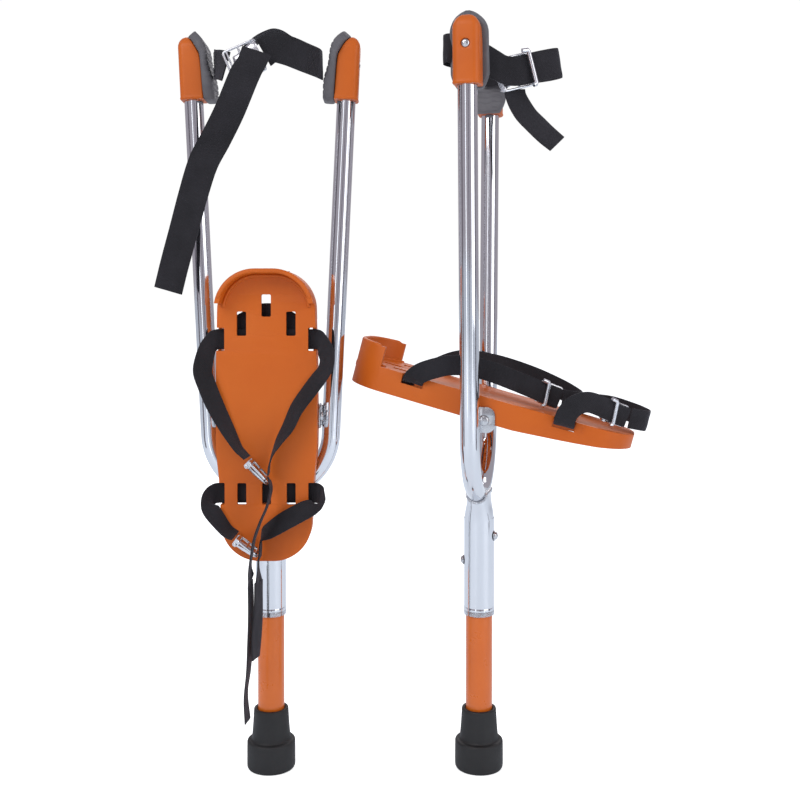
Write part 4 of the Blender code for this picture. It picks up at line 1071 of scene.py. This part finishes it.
def left_ankle():
    a = [(-17.0, -37.0, 36.5, -0.1, -0.08, 1), (-21.5, -32.5, 36, -0.12, -0.1, 0.99), (-26.4, -27.0, 35.5, -0.18, -0.14, 0.97),
         (-38.0, -6.5, 34.5, -0.48, -0.25, 0.82), (-48.4, 14.0, 34.5, -0.64, -0.3, 0.66), (-56.4, 33.0, 34, -0.75, -0.12, 0.6),
         (-61.0, 47.0, 33, -0.78, 0.12, 0.5), (-59.5, 60.0, 30, -0.55, 0.6, 0.35), (-57.0, 70.0, 25.5, -0.2, 0.95, 0.1),
         (-53.2, 76.5, 20, 0, 1, 0), (-49.0, 78.5, 16.8, 0, 1, 0)]
    mid = [(x, 78.5, UNDER, 0, 1, 0) for x in (-44.5, -22, 0, 22, 44.5)]
    b = [(49.0, 78.5, 16.8, 0, 1, 0), (53.2, 77.0, 20.5, 0, 1, 0), (57.5, 71.0, 26, 0.2, 0.95, 0.1), (61.0, 61.0, 30, 0.55, 0.6, 0.35),
         (59.5, 50.0, 33, 0.72, 0.15, 0.5), (52.5, 40.0, 34.5, 0.68, -0.25, 0.6), (43.0, 27.5, 35, 0.6, -0.38, 0.65),
         (32.0, 12.0, 35, 0.58, -0.36, 0.72), (23.5, -6.0, 35, 0.55, -0.25, 0.78), (14.5, -20.0, 35.5, 0.35, -0.17, 0.92),
         (8.4, -32.0, 36, 0.15, -0.06, 0.98), (5.2, -43.0, 36.5, 0.08, -0.02, 1), (4.1, -53.0, 36.5, 0.06, 0, 1)]
    return a + mid + b


def left_toe():
    a = [(-28.6, -113.4, 36.5, -0.15, -0.2, 0.97), (-32.5, -112.0, 36, -0.2, -0.28, 0.94), (-38.0, -108.0, 35.5, -0.28, -0.33, 0.9),
         (-46.0, -98.0, 35, -0.42, -0.42, 0.8), (-53.0, -88.5, 33.5, -0.55, -0.35, 0.75), (-56.3, -81.5, 29.5, -0.5, 0.35, 0.75),
         (-55.5, -77.5, 25, -0.25, 0.9, 0.35), (-52.0, -75.3, 19.8, 0, 1, 0), (-48.6, -75.0, 16.8, 0, 1, 0)]
    mid = [(x, -75.0, UNDER, 0, 1, 0) for x in (-43.5, -22, 0, 22, 43.5)]
    b = [(48.6, -75.0, 16.8, 0, 1, 0), (52.0, -75.3, 20, 0, 1, 0), (55.0, -77.5, 25, 0.2, 0.95, 0.2), (54.0, -82.0, 30.5, 0.55, 0.45, 0.7),
         (51.0, -84.5, 33, 0.6, -0.1, 0.8), (46.5, -86.0, 34.5, 0.5, -0.5, 0.7), (38.5, -89.0, 35.5, 0.44, -0.7, 0.56),
         (19.0, -99.5, 36, 0.44, -0.7, 0.56), (6.5, -107.5, 36, 0.38, -0.58, 0.72), (0.5, -111.5, 36, 0.3, -0.45, 0.84),
         (-3.4, -117.0, 36, 0.1, -0.1, 0.99), (-4.2, -126.0, 36, 0, 0, 1), (-4.6, -135.0, 36, 0, 0, 1)]
    return a + mid + b


def right_ankle():
    # near notch is on the -x side
    a = [(-14.0, -63.5, 36.5, 0, 0.05, 1), (-19.0, -52.0, 38.0, 0, 0.05, 1), (-26.5, -36.0, 41.0, 0, 0.05, 1),
         (-35.0, -14.0, 44.5, 0, 0.05, 1), (-41.5, 8.0, 47.0, 0, 0.1, 1), (-47.5, 28.0, 47.0, -0.1, 0.25, 0.95),
         (-53.0, 46.0, 43.0, -0.2, 0.5, 0.8), (-55.8, 60.0, 36.0, -0.15, 0.8, 0.5), (-56.0, 71.0, 28.5, -0.05, 1, 0.15),
         (-53.6, 77.0, 21.5, 0, 1, 0), (-48.6, 78.5, 16.6, 0, 1, 0)]
    mid = [(x, 78.5, UNDER, 0, 1, 0) for x in (-44.5, -22, 0, 22, 44.5)]
    b = [(48.6, 78.5, 16.6, 0, 1, 0), (52.6, 78.5, 20.0, 0, 1, 0), (55.5, 72.0, 30.0, 0, 1, 0.2),
         (54.0, 50.0, 43.0, 0.2, 0.7, 0.7), (48.0, 15.0, 48.0, 0.3, 0.3, 0.9), (40.0, -25.0, 47.0, 0.2, 0.1, 1),
         (28.0, -58.0, 43.0, 0.1, 0, 1), (14.0, -77.0, 39.5, 0, 0, 1), (3.0, -82.0, 38.5, 0, 0, 1),
         (-4.0, -81.0, 38.0, 0, 0, 1), (-9.0, -75.0, 37.4, 0, 0, 1), (-13.2, -66.0, 36.8, 0, 0.03, 1)]
    return a + mid + b


def right_toe():
    a = [(-20.0, -131.0, 37.5, 0, 0.05, 1), (-27.0, -120.0, 39.5, 0, 0.05, 1), (-37.0, -105.0, 43.0, 0, 0.1, 1),
         (-46.0, -92.0, 44.5, -0.1, 0.3, 0.95), (-52.5, -82.5, 40.0, -0.2, 0.75, 0.62), (-54.8, -77.0, 32.5, -0.05, 1, 0.15),
         (-54.2, -75.2, 25.5, 0, 1, 0), (-51.4, -75.0, 19.5, 0, 1, 0), (-47.6, -75.0, 16.6, 0, 1, 0)]
    mid = [(x, -75.0, UNDER, 0, 1, 0) for x in (-43.5, -22, 0, 22, 43.5)]
    b = [(47.6, -75.0, 16.6, 0, 1, 0), (51.4, -75.0, 19.5, 0, 1, 0), (54.0, -78.0, 27.0, 0, 1, 0.1),
         (50.0, -90.0, 34.0, 0, 0.8, 0.6), (40.0, -112.0, 39.0, 0, 0.2, 1), (24.0, -136.0, 39.5, 0, 0.0, 1),
         (9.0, -148.5, 39.0, 0, 0, 1), (-2.0, -151.0, 38.5, 0, 0, 1),
         (-9.0, -149.0, 38.2, 0, 0, 1), (-14.2, -142.0, 38.0, 0, 0, 1), (-18.8, -133.4, 37.7, 0, 0.03, 1)]
    return a + mid + b


ANKLE_TAIL = [(-14.0, -10.0, -2.0, 0.1, 1.0, 0.0), (-13.8, -10.0, -25.0, 0.12, 1.0, 0.0), (-14.4, -10.0, -60.0, 0.15, 1.0, 0.0),
              (-16.0, -10.0, -90.0, 0.1, 1.0, 0.0), (-18.8, -10.0, -114.0, 0.05, 1.0, 0.0), (-17.2, -10.0, -140.0, 0.15, 1.0, 0.0)]
ANKLE_LEAD = [(4.6, -58.0, 36, 0, 0, 1), (6.5, -68.0, 41, 0, 0.1, 1), (4.0, -82.0, 48, 0, 0.1, 1), (-2.0, -97.0, 54, 0, 0.1, 1),
              (-7.0, -112.0, 58, 0, 0.05, 1), (-9.0, -124.0, 59, 0, 0, 1), (-11.0, -136.0, 57, 0, -0.1, 1),
              (-13.0, -148.0, 46, 0, -0.2, 1), (-13.8, -158.3, 36, -0.1, 0, 1)]
TOE_LEAD = [(-6.3, -137.0, 36, 0.1, 0, 1), (-6.4, -147.0, 36, 0.05, 0, 1), (-6.0, -158.3, 36, -0.2, 0, 1)]
TOE_TAIL = [(-6.0, -10.0, -2.0, 0.3, 0.95, 0.0), (-6.2, -10.0, -26.0, 0.33, 0.94, 0.0), (-7.8, -10.0, -53.0, 0.4, 0.9, 0.0),
            (-9.0, -10.0, -78.0, 0.25, 0.96, 0.0)]

def build_spring(pre):
    """Round-wire compression spring, riding on the leg."""
    turns, per, z0, z1 = 6, 32, 171.9, 234.2
    pts = []
    for i in range(turns * per + 1):
        a = 2 * math.pi * i / per
        pts.append((9.6 * math.cos(a), 9.6 * math.sin(a), z0 + (z1 - z0) * i / (turns * per)))
    ob = put(pre + "coil_spring", outward(tube(pts, 1.4, 14)), "spring", pre + "leg", UNIT[pre], [pre + "spring"], smooth=60)
    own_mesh(ob)


for pre in ("left_", "right_"):
    build_yoke(pre)
    build_leg(pre)
    build_spring(pre)
    for s_, t_ in ((-1, "a"), (1, "b")):
        build_head(pre, s_, t_)
    build_hinge(pre)
    build_plate(pre)

LU, RU, LP, RP = UNIT["left_"], UNIT["right_"], PLATE["left_"], PLATE["right_"]
strap("left_calf_band_short", LEFT_CALF_SHORT, 29, "left_frame", LU, ["left_calf_strap_short"], seed=1)
strap("left_calf_band", LEFT_CALF, 29, "left_frame", LU, ["left_calf_strap"], seed=2, steps=12)
strap("left_calf_band_loop", LEFT_CALF_ARC, 26, "left_frame", LU, [], seed=3, steps=10)
strap("left_calf_free_end", LEFT_CALF_TAIL, 29, "left_frame", LU, ["left_calf_strap_tail"], seed=4, steps=12)
stitch_box("left_calf_stitches_a", LEFT_CALF_SHORT, 6, 29, 14, "left_frame", LU)
stitch_box("left_calf_stitches_b", LEFT_CALF, 48, 29, 14, "left_frame", LU)
build_buckle("left_calf_", "left_frame", "left_calf_lever", LU, (-19.6, -47, 712.2), (0.915, 0, 0.4), (0, -1, 0), 34, 34, 25, double=True)
strap("right_calf_band_short", RIGHT_CALF_SHORT, 29, "right_frame", RU, ["right_calf_strap_short"], seed=5)
strap("right_calf_band", RIGHT_CALF, 29, "right_frame", RU, ["right_calf_strap"], seed=6, steps=12)
strap("right_calf_free_end", RIGHT_CALF_TAIL, 29, "right_frame", RU, ["right_calf_strap_tail"], seed=7, steps=12)
strap("right_calf_fold", RIGHT_CALF_FOLD, 27, "right_frame", RU, [], seed=8)
stitch_box("right_calf_stitches", RIGHT_CALF, 87, 29, 14, "right_frame", RU)
build_buckle("right_calf_", "right_frame", "right_calf_lever", RU, (-29.1, -39.8, 704.0), (-0.5, 0.82, -0.28), (0.85, 0.52, 0), 34, 34, 25)

strap("left_ankle_band", left_ankle(), 20, "left_plate", LP, ["left_ankle_strap"], seed=9, steps=8)
build_buckle("left_ankle_", "left_plate", "left_ankle_lever", LP, (-5.6, -48.9, 36.5), (-0.68, 0.73, 0), (-0.73, -0.68, 0), 24, 23, 28)
strap("left_toe_band", left_toe(), 20, "left_plate", LP, ["left_toe_strap"], seed=10, steps=8)
build_buckle("left_toe_", "left_plate", "left_toe_lever", LP, (-16.4, -123.1, 36.5), (-0.79, 0.61, 0), (-0.61, -0.79, 0), 24, 23, 25)
TAILS = LU @ Matrix.Translation(Vector((0, -38.0, 206.0)) * MM)
strap("left_ankle_free_run", ANKLE_LEAD, 18, "left_plate", LP, [], seed=15, steps=8)
strap("left_toe_free_run", TOE_LEAD, 18, "left_plate", LP, [], seed=16, steps=8)
strap("left_ankle_free_end", ANKLE_TAIL, 18, "left_tails", TAILS, ["left_ankle_strap_tail"], seed=11, steps=8)
strap("left_toe_free_end", TOE_TAIL, 18, "left_tails", TAILS, ["left_toe_strap_tail"], seed=12, steps=8)
strap("right_ankle_band", right_ankle(), 20, "right_plate", RP, ["right_ankle_strap"], seed=13, steps=8)
build_buckle("right_ankle_", "right_plate", "right_ankle_lever", RP, (-14.6, -52.6, 38.0), (-0.42, 0.9, 0.12), (0.9, 0.42, 0), 24, 23, 20)
strap("right_toe_band", right_toe(), 20, "right_plate", RP, ["right_toe_strap"], seed=14, steps=8)
build_buckle("right_toe_", "right_plate", "right_toe_lever", RP, (-22.7, -119.7, 38.5), (-0.55, 0.83, 0.1), (0.83, 0.55, 0), 24, 23, 20)

HEEL_BAND = [(-41.5, 87.0, 12.6, 0, 1, 0), (-36.0, 89.0, 12.4, 0, 1, 0), (-24.5, 94.5, 12.2, -0.25, 1, 0), (-10.0, 102.5, 12.1, -0.15, 1, 0),
             (0.0, 104.5, 12.1, 0, 1, 0), (10.0, 102.5, 12.1, 0.15, 1, 0), (24.5, 94.5, 12.2, 0.25, 1, 0), (36.0, 89.0, 12.4, 0, 1, 0),
             (41.5, 87.0, 12.6, 0, 1, 0)]


def keeper(name, body, matrix, at, back, up, half, r=2.0):
    """The bent wire that clamps a strap's doubled end: a bar across the strap with a short hook over its edge."""
    at, back, up = Vector(at), Vector(back).normalized(), Vector(up).normalized()
    pts = [at - up * half + back * 3.5, at - up * (half - 0.3) + back * 0.8, at - up * (half - 1.6), at, at + up * (half - 1.6),
           at + up * (half - 0.3) + back * 0.8, at + up * half + back * 6.5]
    put(name, outward(tube([tuple(p) for p in pts], r, 16)), "buckle", body, matrix, smooth=50)


for pre_, mat_, body_ in (("left_", LP, "left_plate"), ("right_", RP, "right_plate")):
    strap(pre_ + "heel_slot_band", HEEL_BAND, 20, body_, mat_, [], seed=17, steps=5)
keeper("right_ankle_keeper_bar", "right_plate", RP, (-22.2, -50.6, 38.4), (-0.42, 0.9, 0.1), (0, 0.05, 1), 12.3)
keeper("right_toe_keeper_bar", "right_plate", RP, (-30.3, -118.6, 39.5), (-0.55, 0.83, 0.1), (0, 0.05, 1), 12.3)
keeper("right_calf_keeper_bar", "right_frame", RU, (-29.2, -56.4, 708.4), (-0.5, 0.8, -0.25), (-0.1, 0.25, 1), 17.2, 2.4)

# the springs and the plugs inside the legs keep their CAD shape and take the finer finish
for name, ob in frame["nodes"].items():
    if name.endswith("_spring") or name.endswith("_leg_plug"):
        for sl in ob.material_slots:
            sl.material = M["spring"] if name.endswith("_spring") else M["rubber"]

# ------------------------------------------------------------- floor and lights
bpy.ops.mesh.primitive_plane_add(size=60.0, location=(0, 20.0, 0.0))
floor = bpy.context.object
floor.name = "floor"
fm = Nodes("pale_floor")
fm.out("Base Color", fm.ramp(fm.noise(3.0, 3.0), [(0.3, (0.93, 0.93, 0.93)), (0.7, (0.95, 0.95, 0.95))]))
fm.set(Roughness=0.55)
fm.bsdf.inputs["Emission Color"].default_value = (1, 1, 1, 1)
# the sweep glows for the camera and, less, for reflections: the lower tubes mirror it pale, the upper ones stay darker
ft = fm.mat.node_tree
flp = ft.nodes.new("ShaderNodeLightPath")
fmx = ft.nodes.new("ShaderNodeMath")
fmx.operation = 'MULTIPLY'
fmx.inputs[1].default_value = 0.62
fsum = ft.nodes.new("ShaderNodeMath")
fsum.operation = 'MULTIPLY_ADD'
fsum.inputs[1].default_value = 0.16
ft.links.new(flp.outputs["Is Glossy Ray"], fsum.inputs[0])
ft.links.new(flp.outputs["Is Camera Ray"], fsum.inputs[2])
ft.links.new(fsum.outputs[0], fmx.inputs[0])
ft.links.new(fmx.outputs[0], fm.bsdf.inputs["Emission Strength"])
fcol = ft.nodes.new("ShaderNodeMix")
fcol.data_type = 'RGBA'
fcol.inputs["B"].default_value = (0.72, 0.77, 0.84, 1)
ft.links.new(fm.bsdf.inputs["Base Color"].links[0].from_socket, fcol.inputs["A"])
ft.links.new(flp.outputs["Is Glossy Ray"], fcol.inputs["Factor"])
ft.links.new(fcol.outputs["Result"], fm.bsdf.inputs["Base Color"])
fm.bsdf.inputs["Specular IOR Level"].default_value = 0.2
fm.out("Normal", fm.bump(fm.noise(220.0, 3.0), 0.03, 0.0005))
floor.data.materials.append(fm.mat)

world = bpy.data.worlds.new("studio")
bpy.context.scene.world = world
world.use_nodes = True
wt = world.node_tree
bg = wt.nodes["Background"]
lp = wt.nodes.new("ShaderNodeLightPath")
mix = wt.nodes.new("ShaderNodeMix")
mix.data_type = 'RGBA'
mix.inputs["A"].default_value = (0.64, 0.66, 0.70, 1)
mix.inputs["B"].default_value = (1.07, 1.07, 1.07, 1)
wt.links.new(lp.outputs["Is Camera Ray"], mix.inputs["Factor"])
glo = wt.nodes.new("ShaderNodeMix")
glo.data_type = 'RGBA'
glo.inputs["B"].default_value = (0.40, 0.37, 0.41, 1)
wt.links.new(mix.outputs["Result"], glo.inputs["A"])
wt.links.new(lp.outputs["Is Glossy Ray"], glo.inputs["Factor"])
wt.links.new(glo.outputs["Result"], bg.inputs["Color"])
bg.inputs["Strength"].default_value = 0.95


def area(name, loc, target, size, energy, color=(1, 1, 1)):
    li = bpy.data.lights.new(name, 'AREA')
    li.shape = 'RECTANGLE'
    li.size, li.size_y = size
    li.energy = energy
    li.color = color
    ob = bpy.data.objects.new(name, li)
    bpy.context.scene.collection.objects.link(ob)
    ob.location = loc
    ob.rotation_euler = (Vector(target) - Vector(loc)).to_track_quat('-Z', 'Y').to_euler()
    return ob


def card(name, loc, target, size, value, glow=0.0):
    """A dark card that only reflections see: it draws the long bands on the plated tubes."""
    bm = bmesh.new()
    bmesh.ops.create_grid(bm, x_segments=1, y_segments=1, size=0.5)
    me = bpy.data.meshes.new(name)
    bmesh.ops.scale(bm, vec=(size[0], size[1], 1), verts=bm.verts)
    bm.to_mesh(me)
    bm.free()
    ob = bpy.data.objects.new(name, me)
    bpy.context.scene.collection.objects.link(ob)
    ob.location = loc
    ob.rotation_euler = (Vector(target) - Vector(loc)).to_track_quat('-Z', 'Y').to_euler()
    c = Nodes(name)
    c.set(Roughness=0.9)
    c.bsdf.inputs["Base Color"].default_value = (*value, 1)
    c.bsdf.inputs["Specular IOR Level"].default_value = 0.0
    c.bsdf.inputs["Emission Color"].default_value = (0.93, 0.96, 1.0, 1)
    c.bsdf.inputs["Emission Strength"].default_value = glow
    me.materials.append(c.mat)
    ob.visible_camera = False
    ob.visible_shadow = False
    ob.visible_diffuse = False
    return ob


area("key", (-1.5, -1.9, 2.1), (0, 0, 0.40), (1.6, 1.6), 30)
area("fill", (1.9, -1.4, 1.2), (0, 0, 0.40), (1.4, 2.0), 16)
area("rim", (0.2, 1.9, 1.7), (0, 0, 0.45), (2.2, 1.0), 16)
card("card_left", (-1.15, -0.35, 0.5), (0, 0, 0.45), (0.34, 2.2), (0.17, 0.15, 0.17))
card("card_right", (1.2, -0.30, 0.5), (0, 0, 0.45), (0.30, 2.2), (0.16, 0.15, 0.18))
card("strip_left", (-0.75, -1.5, 0.6), (0, 0, 0.5), (0.20, 2.4), (0.9, 0.9, 0.9), 0.95)
card("strip_right", (0.95, -1.3, 0.6), (0, 0, 0.5), (0.16, 2.4), (0.9, 0.9, 0.9), 0.80)
card("card_front", (0.16, -1.75, 0.5), (0, 0, 0.45), (0.13, 2.4), (0.05, 0.05, 0.09))

cam = bpy.data.cameras.new("camera")
cam.lens = 45.6
cam.sensor_width = 36.0
co = bpy.data.objects.new("camera", cam)
bpy.context.scene.collection.objects.link(co)
cam.shift_y = -0.0925
co.location = (-0.001, -1.038, 0.470)
co.rotation_euler = (math.radians(90.0 - 0.9), 0, 0)
bpy.context.scene.view_settings.view_transform = 'Standard'
bpy.context.scene.view_settings.look = 'None'

bpy.context.scene.camera = co
